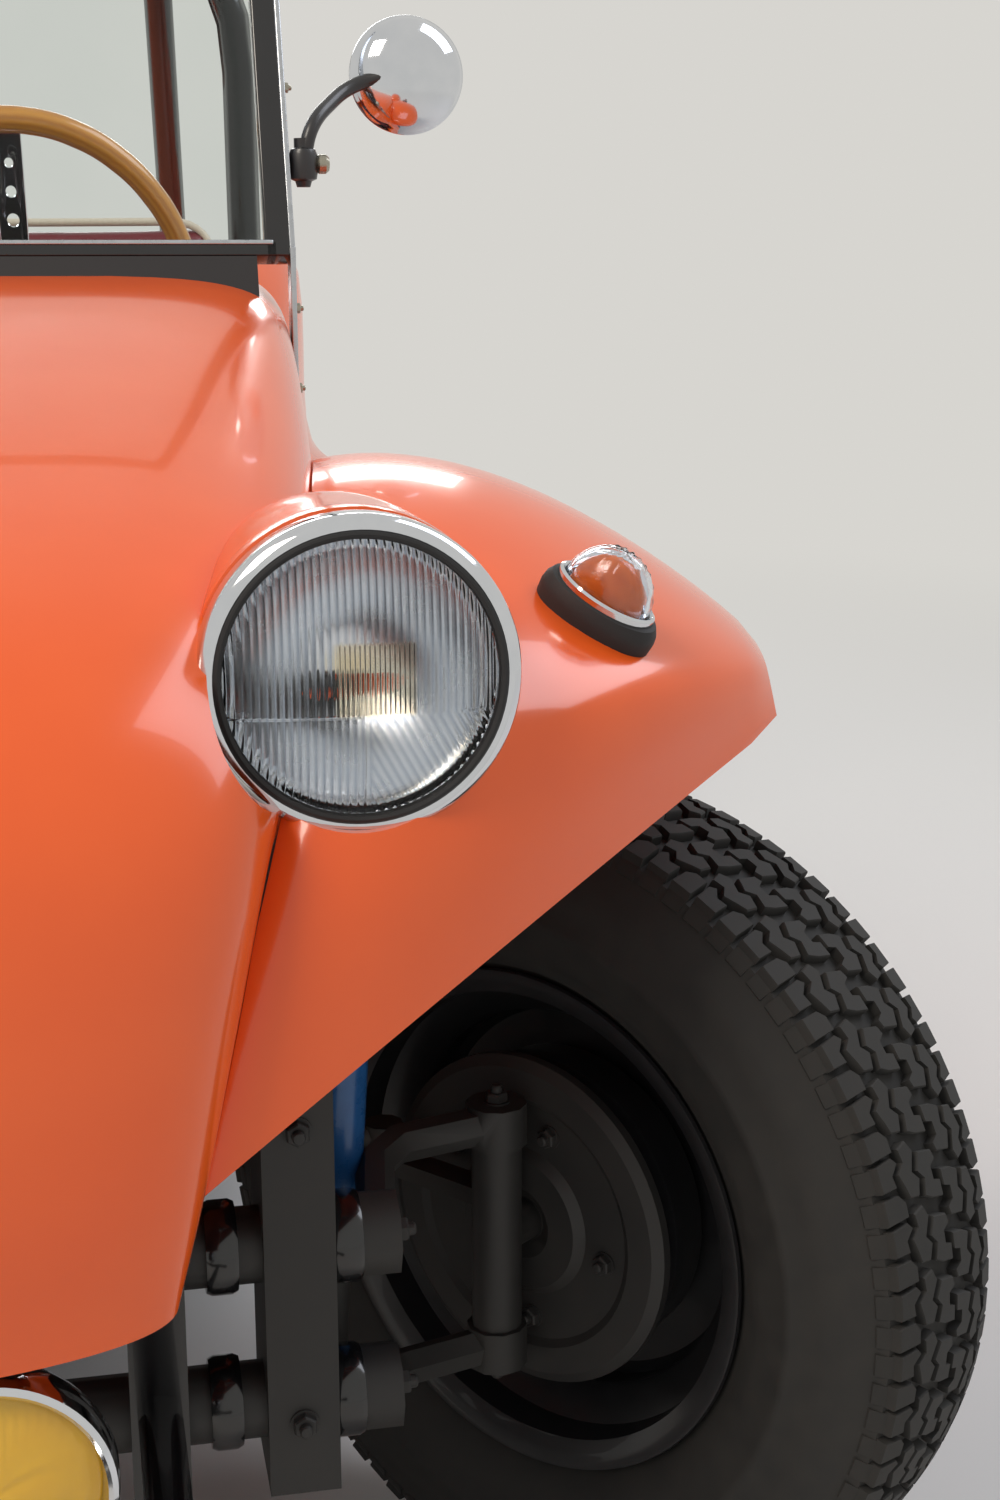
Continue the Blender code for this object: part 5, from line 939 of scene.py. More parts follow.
# Chassis steel: floor pan, twin-tube front axle, knuckles, rods, brackets and bars are welded
# and forged steel in black paint, held together by plated bolts.
def kept(material, *names, angle=48):
    """Finish CAD nodes as they are: doubles merged and rounds shaded smooth on the way."""
    for name in names:
        node = nodes[name]
        for polygon in node.data.polygons:
            polygon.use_smooth = True
        weld = node.modifiers.new("weld", "WELD")
        weld.merge_threshold = 2e-5
        split = node.modifiers.new("edges", "EDGE_SPLIT")
        split.split_angle = math.radians(angle)
        split.use_edge_sharp = False
        if not node.material_slots:
            node.data.materials.append(material)
        for slot in node.material_slots:
            slot.material = material


BEAM_Y = FRONT_AXLE_Y - 0.130
TUBE_RADIUS = 0.027
TUBE_HEIGHTS = (0.424, 0.304)
TOWER_X = 0.428
TOWER_FACE_Y = BEAM_Y + 0.062 - 0.095
BRACKET_X = 0.328
BRACKET_FACE_Y = BEAM_Y - TUBE_RADIUS - 0.0083
PLATE_OFFSET = 0.036
# Cadmium-plated fasteners: pale grey with a faint gold cast, softly bright.
plating = surface("plated_fasteners", None, "#B9B4A4", "#8E8A7D", 0.3, 5, metal=1.0)
# Gloss enamel on steel tube: deep black with a clear reflection.
gloss_black = surface("gloss_black_enamel", "black_steel", "#19191B", "#101012", 0.2, 30, 0.04,
    Coat_Weight=0.5)
kept(dusty_black, "floor_pan", "front_axle_beam", "knuckle_left", "knuckle_right", "tie_rod_left",
     "tie_rod_right", "drop_arm", "steering_column", "toe_board")
kept(gloss_black, "front_bumper", "roll_bar", "rear_guard", angle=62)
axle_bolts = []
for side in (1, -1):
    for z in (0.300, 0.520):
        axle_bolts.append(((side * TOWER_X, TOWER_FACE_Y, z), (0, -1, 0)))
    for z in TUBE_HEIGHTS:
        axle_bolts.append(((side * 0.500, BEAM_Y, z), (side, 0, 0)))
        axle_bolts.append(((side * BRACKET_X, BRACKET_FACE_Y - 0.004, z), (0, -1, 0)))
    axle_bolts.append(((side * KINGPIN_X, FRONT_AXLE_Y, 0.4595), (0, 0, 1)))
    axle_bolts.append(((side * KINGPIN_X, FRONT_AXLE_Y, 0.2375), (0, 0, -1)))
bolt_set("axle_bolts", dusty_black, axle_bolts)
clamp_profile = [(TUBE_RADIUS + out, along) for out, along in (
    (0, -0.011), (0.004, -0.011), (0.006, -0.007), (0.006, 0.007), (0.004, 0.011), (0, 0.011), (0, -0.011))]
clamp_rings = [turned("ring", clamp_profile, at((x, BEAM_Y, z)) @ ALONG_X, 32)
               for x in (-0.462, -0.375, -0.16, 0.16, 0.375, 0.462) for z in TUBE_HEIGHTS]
finish(joined("axle_tube_clamps", *clamp_rings), gloss_black)
for side, word in SIDES:
    place = steered(side, PLATE_OFFSET)
    backing = turned("brake_backing_" + word, [(0.019, -0.001), (0.030, -0.009), (0.055, -0.009),
        (0.062, -0.002), (0.100, -0.002), (0.106, -0.006), (0.128, -0.006), (0.1365, -0.001),
        (0.1365, 0.007), (0.019, 0.007), (0.019, -0.001)], place @ ALONG_X, 72)
    finish(backing, dusty_black, body="knuckle_" + word)
    studs = [(place @ Vector((-0.002, 0.082 * math.cos(t), 0.082 * math.sin(t))),
        place.to_3x3() @ Vector((-1, 0, 0))) for t in (0.6, 1.9, 3.3, 4.6)]
    bolt_set("backing_bolts_" + word, dusty_black, studs, 0.9, "knuckle_" + word)


# Front dampers: telescopic, their bodies in blue enamel over a black dust sleeve, with a
# rubber-bushed eye at each end bolted to the tower and the trailing arm.
# columns: lower eye, upper eye, body radius
FRONT_DAMPER = ((0.455, FRONT_AXLE_Y - 0.042, 0.250), (0.474, FRONT_AXLE_Y - 0.042, 0.550), 0.022)
REAR_DAMPER = ((0.500, REAR_AXLE_Y, 0.390), (0.450, REAR_AXLE_Y - 0.060, 0.740), 0.026)
# Blue enamel on drawn steel tube: mid gloss, chipped a little darker in small patches.
blue_enamel = surface("blue_enamel", "damper_blue", "#2F6FB0", "#1F5590", 0.28, 18, 0.05, Coat_Weight=0.3)


def tube_between(name, lower, upper, profile, steps=40):
    """A turned piece whose profile heights are shares of the way between two points."""
    reach = (upper - lower).length
    return turned(name, [(r, share * reach) for r, share in profile], facing(lower, upper - lower), steps)


for (*spots, wide), end in ((FRONT_DAMPER, "front"), (REAR_DAMPER, "rear")):
    for side, word in SIDES:
        lower, upper = (Vector((side * x, y, z)) for x, y, z in spots)
        sleeve = tube_between("damper_body_" + end + "_" + word, lower, upper,
            [(0.0, 0.40), (wide * 0.93, 0.40), (wide, 0.42), (wide, 0.50), (wide * 1.06, 0.505),
            (wide * 1.06, 0.53), (wide, 0.535), (wide, 0.90), (wide * 0.9, 0.94), (wide * 0.35, 0.955),
            (0.0, 0.955)])
        finish(sleeve, blue_enamel, end + "_shock_" + word)
        inner = tube_between("damper_tube_" + end + "_" + word, lower, upper,
            [(0.0, 0.02), (wide * 0.5, 0.02), (wide * 0.72, 0.06), (wide * 0.76, 0.10),
            (wide * 0.76, 0.41), (0.0, 0.41)])
        finish(inner, dusty_black)
        eyes = [turned("eye", [(0.006, -0.014), (0.015, -0.014), (0.0165, -0.011), (0.0165, 0.011),
                               (0.015, 0.014), (0.006, 0.014), (0.006, -0.014)],
                       at(spot) @ FORWARD, 32) for spot in (lower, upper)]
        finish(joined("damper_eyes_" + end + "_" + word, *eyes), rubber)
        out = -1 if end == "front" else 1
        pins = [(spot + Vector((0, out * 0.014, 0)), (0, out, 0)) for spot in (lower, upper)]
        bolt_set("damper_bolts_" + end + "_" + word, plating, pins, 1.1)


# Windscreen: a black square-section frame leaning on the cowl, clamped between bright
# aluminium strips that run down to the body, with flat clear glass and a rubber strip below.
SCREEN_HALF = 0.500
SCREEN_HEIGHT = 0.392
SCREEN_BAR = 0.022
SCREEN_RAIL = 0.014
SCREEN_DEPTH = 0.024
SCREEN_BASE = Vector((0, FRONT_AXLE_Y + 0.406, 1.0965))
LEANING = at(SCREEN_BASE) @ spun(-20.4, "X")
STRIP_THICK = 0.005
STRIP_WIDTH = 0.024
STRIP_FOOT = 0.172
STRIP_X = SCREEN_HALF + STRIP_THICK / 3


def block(name, size, centre, round_mm=1.5, place=Matrix()):
    """A squared bar or plate with its edges eased, then placed."""
    deselect()
    bpy.ops.mesh.primitive_cube_add(size=1, location=(0, 0, 0))
    piece = bpy.context.object
    piece.name = name
    bpy.ops.object.mode_set(mode="EDIT")
    bpy.ops.mesh.select_all(action="SELECT")
    bpy.ops.transform.resize(value=size)
    bpy.ops.mesh.bevel(offset=min(round_mm / 1000, min(size) * 0.45), segments=3, affect="EDGES")
    bpy.ops.object.mode_set(mode="OBJECT")
    piece.data.transform(place @ at(centre))
    return applied(piece)


# Extruded aluminium, satin anodised: pale, with fine die lines that blur its reflection.
aluminium = surface("anodised_aluminium", "chrome", "#C9CCD0", "#AEB2B7", 0.28, 8, 0.02, metal=1.0)
# Float glass: clear with the faintest grey-green, sharp reflections.
glass = surface("float_glass", "screen_glass", "#F2F7F5", "#E9F0EE", 0.015, 120, Transmission_Weight=1.0,
    IOR=1.2)

bars = [block("bar", (SCREEN_BAR, SCREEN_DEPTH, SCREEN_HEIGHT),
    (side * (SCREEN_HALF - SCREEN_BAR / 2), 0, SCREEN_HEIGHT / 2), 2, LEANING) for side in (1, -1)]
for z in (SCREEN_RAIL / 2, SCREEN_HEIGHT - SCREEN_RAIL / 2):
    bars.append(block("rail", (2 * SCREEN_HALF - SCREEN_BAR, SCREEN_DEPTH, SCREEN_RAIL), (0, 0, z), 2,
        LEANING))
finish(joined("windscreen_surround", *bars), gloss_black, "windscreen_frame")
strips = []
for side in (1, -1):
    reach = SCREEN_HEIGHT * 0.96
    strips.append(block("strip", (STRIP_THICK, STRIP_WIDTH, reach), (side * STRIP_X, 0, reach / 2), 1,
        LEANING))
    strips.append(block("leg", (STRIP_THICK, STRIP_WIDTH, STRIP_FOOT),
        (side * STRIP_X, SCREEN_BASE.y, SCREEN_BASE.z + STRIP_WIDTH / 2 - STRIP_FOOT / 2), 1))
strips.append(block("sill", (2 * SCREEN_HALF - 0.03, 0.003, 0.004), (0, -SCREEN_DEPTH / 2, 0.012), 1,
    LEANING))
finish(joined("windscreen_strips", *strips), aluminium)
strip_bolts = [((side * (STRIP_X + STRIP_THICK / 2), SCREEN_BASE.y, z), (side, 0, 0))
               for side in (1, -1) for z in (0.945, 0.985, 1.055)]
strip_bolts += [(LEANING @ Vector((side * (STRIP_X + STRIP_THICK / 2), 0, up)), (side, 0, 0))
                for side in (1, -1) for up in (0.16, 0.35)]
bolt_set("windscreen_bolts", plating, strip_bolts, 0.5)
pane = block("windscreen_pane", (2 * (SCREEN_HALF - SCREEN_BAR), 0.004, SCREEN_HEIGHT - 2 * SCREEN_RAIL),
             (0, 0, SCREEN_HEIGHT / 2), 0.5, LEANING)
finish(pane, glass, "windscreen_glass")
kept(rubber, "windscreen_seal")


# Mirrors: round chromed cups on cranked steel arms, each in a clamp on the windscreen's edge.
MIRROR_CENTRE = Vector((0.622, FRONT_AXLE_Y + 0.500, 1.262))
MIRROR_FOOT = Vector((0.5177, FRONT_AXLE_Y + 0.440, 1.180))


def tube(name, route, radius, bend=0.03, closed=False, sides=20):
    """A bent tube: a curve through the route's corners, each rounded, swept with a circle."""
    corners = [Vector(spot) for spot in route]
    line = [] if closed else [corners[0]]
    span = range(len(corners)) if closed else range(1, len(corners) - 1)
    for i in span:
        before, corner, after = corners[i - 1], corners[i], corners[(i + 1) % len(corners)]
        start = corner + (before - corner).normalized() * min(bend, (before - corner).length / 2)
        end = corner + (after - corner).normalized() * min(bend, (after - corner).length / 2)
        for step in range(9):
            t = step / 8
            line.append(start * (1 - t) ** 2 + corner * 2 * t * (1 - t) + end * t ** 2)
    if not closed:
        line.append(corners[-1])
    curve = bpy.data.curves.new(name, "CURVE")
    curve.dimensions = "3D"
    curve.bevel_depth = radius
    curve.bevel_resolution = (sides - 4) // 2
    curve.use_fill_caps = True
    spline = curve.splines.new("POLY")
    spline.points.add(len(line) - 1)
    for point, spot in zip(spline.points, line):
        point.co = (*spot, 1)
    spline.use_cyclic_u = closed
    swept = bpy.data.objects.new(name, curve)
    bpy.context.scene.collection.objects.link(swept)
    deselect()
    bpy.context.view_layer.objects.active = swept
    swept.select_set(True)
    bpy.ops.object.convert(target="MESH")
    piece = bpy.context.object
    bpy.ops.object.mode_set(mode="EDIT")
    bpy.ops.mesh.select_all(action="SELECT")
    bpy.ops.mesh.remove_doubles(threshold=1e-5)
    bpy.ops.mesh.normals_make_consistent(inside=False)
    bpy.ops.object.mode_set(mode="OBJECT")
    piece.name = name
    return applied(piece, 40)


cup = turned("cup", [
    *arc(0.051, 0.028, 0, 84, 16), (0.0525, 0.001), (0.053, -0.002), (0.0528, -0.006), (0.0505, -0.0065),
    (0.0495, -0.004), (0.0, -0.0035)], at(MIRROR_CENTRE) @ FORWARD, 72, 40)
both("mirror_cup_", cup, chrome, "mirror_")
stalk = tube("stalk", [MIRROR_FOOT + Vector((0, 0, -0.006)), MIRROR_FOOT + Vector((0.006, -0.004, 0.034)),
    MIRROR_CENTRE + Vector((-0.055, -0.012, -0.010)), MIRROR_CENTRE + Vector((-0.010, -0.020, 0.0))],
    0.0065, 0.028)
both("mirror_arm_", stalk, black_enamel)
clamp = turned("clamp", [
    (0.0, -0.020), (0.006, -0.020), (0.0075, -0.015), (0.012, -0.013), (0.0128, -0.008), (0.0128, 0.008),
    (0.011, 0.0125), (0.008, 0.014), (0.008, 0.022), (0.0, 0.022)], at(MIRROR_FOOT), 32)
both("mirror_clamp_", clamp, black_enamel)
knob = turned("knob", [(0.0, 0.0), (0.006, 0.0), (0.0085, 0.003), (0.0085, 0.009), (0.006, 0.012),
    (0.0, 0.013)], at(MIRROR_FOOT + Vector((0.011, 0, 0))) @ ALONG_X, 24)
both("mirror_knob_", knob, plating)


# Fog lamps: shallow chromed shells with pressed yellow glass, on posts on the front tube.
FOG_CENTRE = Vector((0.228, FRONT_AXLE_Y - 0.425, 0.440))
FOG_RADIUS = 0.070
# Pressed yellow glass, ribbed upright; drawn opaque, since its silvered back closes it.
yellow_glass = surface("yellow_pressed_glass", "yellow_lens", "#F2C230", "#DDA21C", 0.1, 40,
    Coat_Weight=0.8)
for side, word in SIDES:
    place = at((side * FOG_CENTRE.x, FOG_CENTRE.y, FOG_CENTRE.z)) @ FORWARD
    shell = turned("fog_lamp_shell_" + word, [(0.0, 0.0), (0.060, 0.0), (0.0615, 0.008), (0.0635, 0.0165),
        (0.066, 0.0185), (0.0690, 0.015), (FOG_RADIUS, 0.008), (FOG_RADIUS, -0.008), (0.0675, -0.014),
        (0.0655, -0.020), (0.055, -0.042), (0.038, -0.058), (0.018, -0.067), (0.0, -0.069)], place, 72)
    finish(shell, chrome, "fog_lamp_" + word)
    lens = turned("fog_lamp_lens_" + word, [*arc(0.0618, 0.0165, 0, 76, 12), (0.0612, 0.002), (0.0, 0.002)],
                  place, 144, 60)
    for vert in lens.data.vertices:
        out = vert.co.x - side * FOG_CENTRE.x
        if vert.co.y < FOG_CENTRE.y - 0.006:
            vert.co.y -= 0.0005 * math.sin(out * 2 * math.pi / 0.0062)
    finish(lens, yellow_glass)
    nut = turned("fog_lamp_nut_" + word, [(0.0, -0.0015), (0.020, -0.0015), (0.016, 0.010), (0.0, 0.010)],
                 at((side * FOG_CENTRE.x, FOG_CENTRE.y + 0.012, FOG_CENTRE.z - FOG_RADIUS - 0.010)), 6)
    finish(nut, plating)


# Headlamp nacelles: orange mouldings that fair each lamp into the fender's top, proud of it
# behind the bowl.
NACELLE_BACK = 0.270
for side, word in SIDES:
    place = (at((side * LAMP_CENTRE.x, LAMP_CENTRE.y, LAMP_CENTRE.z))
             @ spun(2.5, "X") @ FORWARD)
    swell = [(0.0945, -0.037), (0.0950, -0.041), (0.0945, -0.052)]
    swell += [(0.0930 * math.sqrt(1 - max(share - 0.08, 0) ** 2 / 0.8465), -0.040 - share * NACELLE_BACK)
              for share in [i / 16 for i in range(2, 17)]]
    nacelle = turned("headlamp_nacelle_" + word,
                     [(0.080, -0.037), *swell, (0.0, -0.040 - NACELLE_BACK), (0.0, -0.13), (0.080, -0.13),
                      (0.080, -0.037)], place, 72, 50)
    finish(nacelle, gelcoat)


# Steering wheel: a varnished bent-wood rim on three drilled, polished steel spokes, bolted to
# a turned hub with a domed horn button, on a chromed column end.
WHEEL_CENTRE = Vector((0.235, FRONT_AXLE_Y + 1.095, 1.100))
BOX_TOP = Vector((0.220, FRONT_AXLE_Y, 0.480))
STEERING_RADIUS = 0.190
GRIP_RADIUS = 0.0125
HUB_DEPTH = 0.060


def varnished_wood():
    """Bent beech under gloss varnish: golden, with grain lines about 3 mm apart round the rim."""
    slot_of["varnished_beech"] = "wood_rim"
    material = bpy.data.materials.new("varnished_beech")
    material.use_nodes = True
    tree = material.node_tree
    shader = tree.nodes["Principled BSDF"]
    shader.inputs["Roughness"].default_value = 0.3
    shader.inputs["Coat Weight"].default_value = 0.7
    shader.inputs["Coat Roughness"].default_value = 0.06
    place = add(tree, "ShaderNodeTexCoord")
    centred = add(tree, "ShaderNodeMapping", {1: [-value for value in WHEEL_CENTRE]},
        {0: place.outputs["Object"]})
    rings = add(tree, "ShaderNodeTexWave", {"wave_type": "RINGS", "rings_direction": "SPHERICAL",
        "Scale": 1000 / (3.2 * 6.283), "Distortion": 1.2, "Detail": 2.0, "Detail Scale": 2.0},
        {"Vector": centred.outputs[0]})
    tone = add(tree, "ShaderNodeMix", {"data_type": "RGBA", 6: linear("#B9782A"), 7: linear("#CF9038")},
               {0: rings.outputs["Fac"]})
    tree.links.new(tone.outputs[2], shader.inputs["Base Color"])
    return material


wood = varnished_wood()
steering_place = facing(WHEEL_CENTRE, (WHEEL_CENTRE - BOX_TOP).normalized())
corners = [2 * math.pi * i / 24 for i in range(24)]
circle = [(STEERING_RADIUS * math.cos(turn), STEERING_RADIUS * math.sin(turn), 0) for turn in corners]
grip = tube("steering_rim", circle, GRIP_RADIUS, 0.02, closed=True, sides=20)
grip.data.transform(steering_place)
finish(grip, wood, "steering_wheel", body="steering_wheel")
spokes = []
for turn in (90, 210, 330):
    swing = steering_place @ spun(turn, "Z")
    incline = Matrix.Rotation(math.atan2(HUB_DEPTH / 2, STEERING_RADIUS), 4, "Y")
    arm_place = swing @ at((0, 0, -HUB_DEPTH / 2)) @ incline.inverted()
    reach = STEERING_RADIUS - 0.030
    spoke = block("spoke", (reach, 0.030, 0.0035), (0.020 + reach / 2, 0, 0), 1, arm_place)
    cutters = []
    for i in range(4):
        wide = 0.0075 - i * 0.0009
        cutters.append(turned("hole", [(0, -0.02), (wide, -0.02), (wide, 0.02), (0, 0.02)],
                              arm_place @ at((0.070 + i * 0.027, 0, 0)), 24))
    spokes.append(trimmed(spoke, *cutters))
boss = turned("boss", [(0.0, -HUB_DEPTH + 0.002), (0.028, -HUB_DEPTH + 0.002), (0.030, -HUB_DEPTH * 0.75),
                       (0.034, -HUB_DEPTH * 0.60), (0.040, -HUB_DEPTH * 0.55), (0.040, -HUB_DEPTH * 0.44),
                       (0.033, -HUB_DEPTH * 0.42), (0.030, -HUB_DEPTH * 0.34), (0.0, -HUB_DEPTH * 0.34)],
              steering_place, 48)
finish(joined("steering_spokes", *spokes, boss), chrome, body="steering_wheel")
button = turned("horn_button", [*arc(0.026, 0.010, 0, 88, 8, -HUB_DEPTH * 0.36), (0.0, -HUB_DEPTH * 0.40)],
                steering_place, 40)
finish(button, gloss_black, body="steering_wheel")


# Dashboard: a flat black panel under the cowl with one large dial and three small ones in
# bright bezels, tumbler switches and a grab handle for the passenger.
DASH_Y = FRONT_AXLE_Y + 0.570
DASH_FACE_Y = DASH_Y + 0.006
# a piece drawn upwards that points to the car's tail
REARWARD = spun(-90, "X")
# Crackle-finish paint: black, broken into fine raised wrinkles about 2 mm across.
crackle = surface("crackle_black_paint", None, "#2A2A2C", "#161617", 0.5, 2.2, 0.25)
# Printed dial card under glass: matt near-black.
dial_card = surface("dial_card", None, "#1B1C1E", "#141516", 0.35, 6, Coat_Weight=1.0, Coat_Roughness=0.03)
# Screen-printed marks and needles: warm white ink.
white_ink = surface("white_ink", None, "#F2EFE4", "#E2DED0", 0.6, 4)
kept(crackle, "dashboard")
for name, x, z, wide in (("speed", 0.235, 0.955, 0.052), ("fuel", 0.345, 0.950, 0.028),
        ("oil", 0.125, 0.950, 0.028), ("volts", 0.050, 0.950, 0.028)):
    place = at((x, DASH_FACE_Y, z)) @ REARWARD
    finish(turned("dial_bezel_" + name, [(wide - 0.005, 0.0), (wide, 0.0), (wide, 0.004),
        (wide - 0.0015, 0.007), (wide - 0.004, 0.006), (wide - 0.005, 0.002), (wide - 0.005, 0.0)], place,
        64), chrome)
    finish(turned("dial_card_" + name, [(0.0, 0.0), (wide - 0.004, 0.0), (wide - 0.004, 0.002),
        (0.0, 0.002)], place, 48), dial_card)
    marks = []
    steps = 10 if wide > 0.04 else 5
    for i in range(steps + 1):
        sweep = math.radians(225 - 270 * i / steps)
        along = Vector((math.cos(sweep), 0, math.sin(sweep)))
        centre = Vector((x, DASH_FACE_Y + 0.0024, z)) + along * (wide - 0.011)
        marks.append(block("mark", (0.0075, 0.0006, 0.0016), (0, 0, 0), 0.1,
                           at(centre) @ Matrix.Rotation(-sweep, 4, "Y")))
    needle = at((x, DASH_FACE_Y + 0.003, z)) @ spun(-215, "Y")
    marks.append(block("needle", (wide * 0.85, 0.0008, 0.0014), (wide * 0.30, 0, 0), 0.1, needle))
    marks.append(turned("pivot", [(0.0, 0.0), (0.005, 0.0), (0.004, 0.003), (0.0, 0.003)], place, 20))
    finish(joined("dial_marks_" + name, *marks), white_ink)
for i in range(5):
    place = at((0.115 + i * 0.032, DASH_FACE_Y, 0.885)) @ REARWARD
    finish(turned("dash_switch_%d" % (i + 1), [(0.0, 0.0), (0.0085, 0.0), (0.0085, 0.003),
        (0.004, 0.0045), (0.003, 0.012), (0.0045, 0.019), (0.003, 0.022), (0.0, 0.022)], place, 24),
        chrome)
handle = tube("grab_handle", [(-0.36, DASH_FACE_Y - 0.002, 0.945), (-0.36, DASH_FACE_Y + 0.042, 0.945),
    (-0.13, DASH_FACE_Y + 0.042, 0.945), (-0.13, DASH_FACE_Y - 0.002, 0.945)], 0.008, 0.03)
finish(handle, chrome)


# Driver's controls: three pendant pedals with ribbed rubber pads, a cranked gear lever with
# a turned knob in a rubber gaiter, and a handbrake lever beside it.
PAN_TOP = 0.308
TUNNEL_TOP = 0.447
LEVER_Y = FRONT_AXLE_Y + 0.900
TOE_Y = FRONT_AXLE_Y + 0.340
for name, x in (("clutch", 0.330), ("brake", 0.255), ("throttle", 0.165)):
    tall = 0.115 if name == "throttle" else 0.060
    face = at((x, TOE_Y + 0.130, PAN_TOP + 0.150)) @ spun(-28, "X")
    stem = tube("pedal_arm_" + name, [(x, TOE_Y + 0.004, PAN_TOP + 0.300),
        (x, TOE_Y + 0.070, PAN_TOP + 0.270), (x, TOE_Y + 0.128, PAN_TOP + 0.150)], 0.007, 0.04)
    finish(stem, dusty_black)
    ribs = [block("pad", (0.056, 0.010, tall), (0, 0, 0), 3, face)]
    ribs += [block("rib", (0.050, 0.005, 0.004), (0, 0.006, -tall / 2 + 0.008 + i * 0.010), 1, face)
             for i in range(int(tall / 0.010) - 1)]
    finish(joined("pedal_pad_" + name, *ribs), rubber)
gaiter = turned("lever_gaiter", [(0.0, 0.0), (0.046, 0.0), (0.048, 0.004), (0.040, 0.010), (0.042, 0.015),
    (0.032, 0.021), (0.034, 0.026), (0.024, 0.032), (0.026, 0.037), (0.016, 0.044), (0.010, 0.050),
    (0.0, 0.050)], at((0, LEVER_Y, TUNNEL_TOP + 0.002)), 40)
finish(gaiter, rubber)
stick = tube("gear_stick", [(0, LEVER_Y, TUNNEL_TOP + 0.03), (0, LEVER_Y + 0.012, TUNNEL_TOP + 0.14),
    (0, LEVER_Y + 0.075, TUNNEL_TOP + 0.292)], 0.0065, 0.06)
finish(stick, chrome, "gear_lever")
ball = [(0.0215 * math.sin(t), -0.0215 * math.cos(t)) for t in [0.45 + 2.69 * i / 12 for i in range(13)]]
knob = turned("gear_knob", [(0.009, -0.022), *ball], at((0, LEVER_Y + 0.075, TUNNEL_TOP + 0.306)), 40)
finish(knob, gloss_black)
brake_lever = tube("handbrake_lever", [(0.040, LEVER_Y + 0.080, TUNNEL_TOP),
    (0.040, LEVER_Y + 0.070, TUNNEL_TOP + 0.050), (0.040, LEVER_Y + 0.300, TUNNEL_TOP + 0.095)], 0.008,
    0.03)
finish(brake_lever, chrome)
grip_place = facing(Vector((0.040, LEVER_Y + 0.215, TUNNEL_TOP + 0.078)), (0, 0.100, 0.020))
grip = turned("handbrake_grip", [(0.0, 0.0), (0.011, 0.0), (0.0125, 0.006), (0.0115, 0.05),
    (0.0125, 0.10), (0.0095, 0.108), (0.0, 0.108)], grip_place, 32)
finish(grip, rubber)


# Seats: a sprung cushion and a high back with side bolsters in maroon vinyl, sewn in upright
# channels, edged with pale piping and standing on steel rails.
SEAT_X = 0.274
SEAT_WIDTH = 0.405
SEAT_DEPTH = 0.460
SEAT_LOW = PAN_TOP + 0.062
SEAT_PAD = 0.130
SEAT_BACK_HEIGHT = 0.820
SEAT_BACK_THICK = 0.090
SEAT_FRONT_Y = FRONT_AXLE_Y + 0.960
SEAT_LEAN = -13
BOLSTER = 0.050
CHANNEL_PITCH = 0.048
# Stuffed vinyl-coated cloth: maroon, leather-like grain about 1.5 mm across, soft highlights.
vinyl = surface("grained_vinyl", "seat_vinyl", "#7C2A33", "#5E1D26", 0.42, 1.5, 0.12, Coat_Weight=0.15)
# Extruded vinyl piping: warm off-white.
piping = surface("vinyl_piping", None, "#DDD3C2", "#C9BDA8", 0.45, 4, 0.03)


def stuffed(name, forms, swell, cap, channels, crown_mm):
    """Padded vinyl from easy blocks: merged at 7 mm, blown up by cloth under pressure, then
    sewn down in upright channels on its front face; drawn with that face towards +Z."""
    shapes = [block(name, size, centre, 22) for size, centre in forms]
    pad = joined(name, *shapes)
    deselect()
    bpy.context.view_layer.objects.active = pad
    pad.select_set(True)
    merge = pad.modifiers.new("merge", "REMESH")
    merge.mode = "VOXEL"
    merge.voxel_size = 0.007
    bpy.ops.object.modifier_apply(modifier="merge")
    start = [vert.co.copy() for vert in pad.data.vertices]
    cloth = pad.modifiers.new("cloth", "CLOTH")
    cloth.settings.use_pressure = True
    cloth.settings.uniform_pressure_force = swell
    cloth.settings.effector_weights.gravity = 0
    cloth.settings.quality = 5
    scene = bpy.context.scene
    for step in range(1, 21):
        scene.frame_set(step)
    blown = pad.evaluated_get(bpy.context.evaluated_depsgraph_get())
    moved = [vert.co.copy() for vert in blown.data.vertices]
    pad.modifiers.remove(cloth)
    for vert, old, new in zip(pad.data.vertices, start, moved):
        shift = new - old
        vert.co = old + shift * min(1.0, cap / max(shift.length, 1e-6))
    scene.frame_set(1)
    wide, low, high = channels
    top = max(vert.co.z for vert in pad.data.vertices)
    for vert in pad.data.vertices:
        x, y, z = vert.co
        if z < top - 0.075:
            continue
        inside = max(0.0, 1 - (abs(x) / wide) ** 8) if low < y < high else 0.0
        ridge = abs(math.sin(math.pi * (x / CHANNEL_PITCH + 0.5)))
        vert.co.z += inside * crown_mm / 1000 * (ridge ** 0.5 - 0.75)
        seam = math.exp(-((abs(x) - wide) / 0.006) ** 2) if low - 0.01 < y < high + 0.01 else 0.0
        vert.co.z -= 0.006 * seam
    smooth = pad.modifiers.new("smooth", "SUBSURF")
    smooth.levels = smooth.render_levels = 1
    bpy.ops.object.modifier_apply(modifier="smooth")
    bpy.ops.object.shade_smooth()
    pad.select_set(False)
    return pad


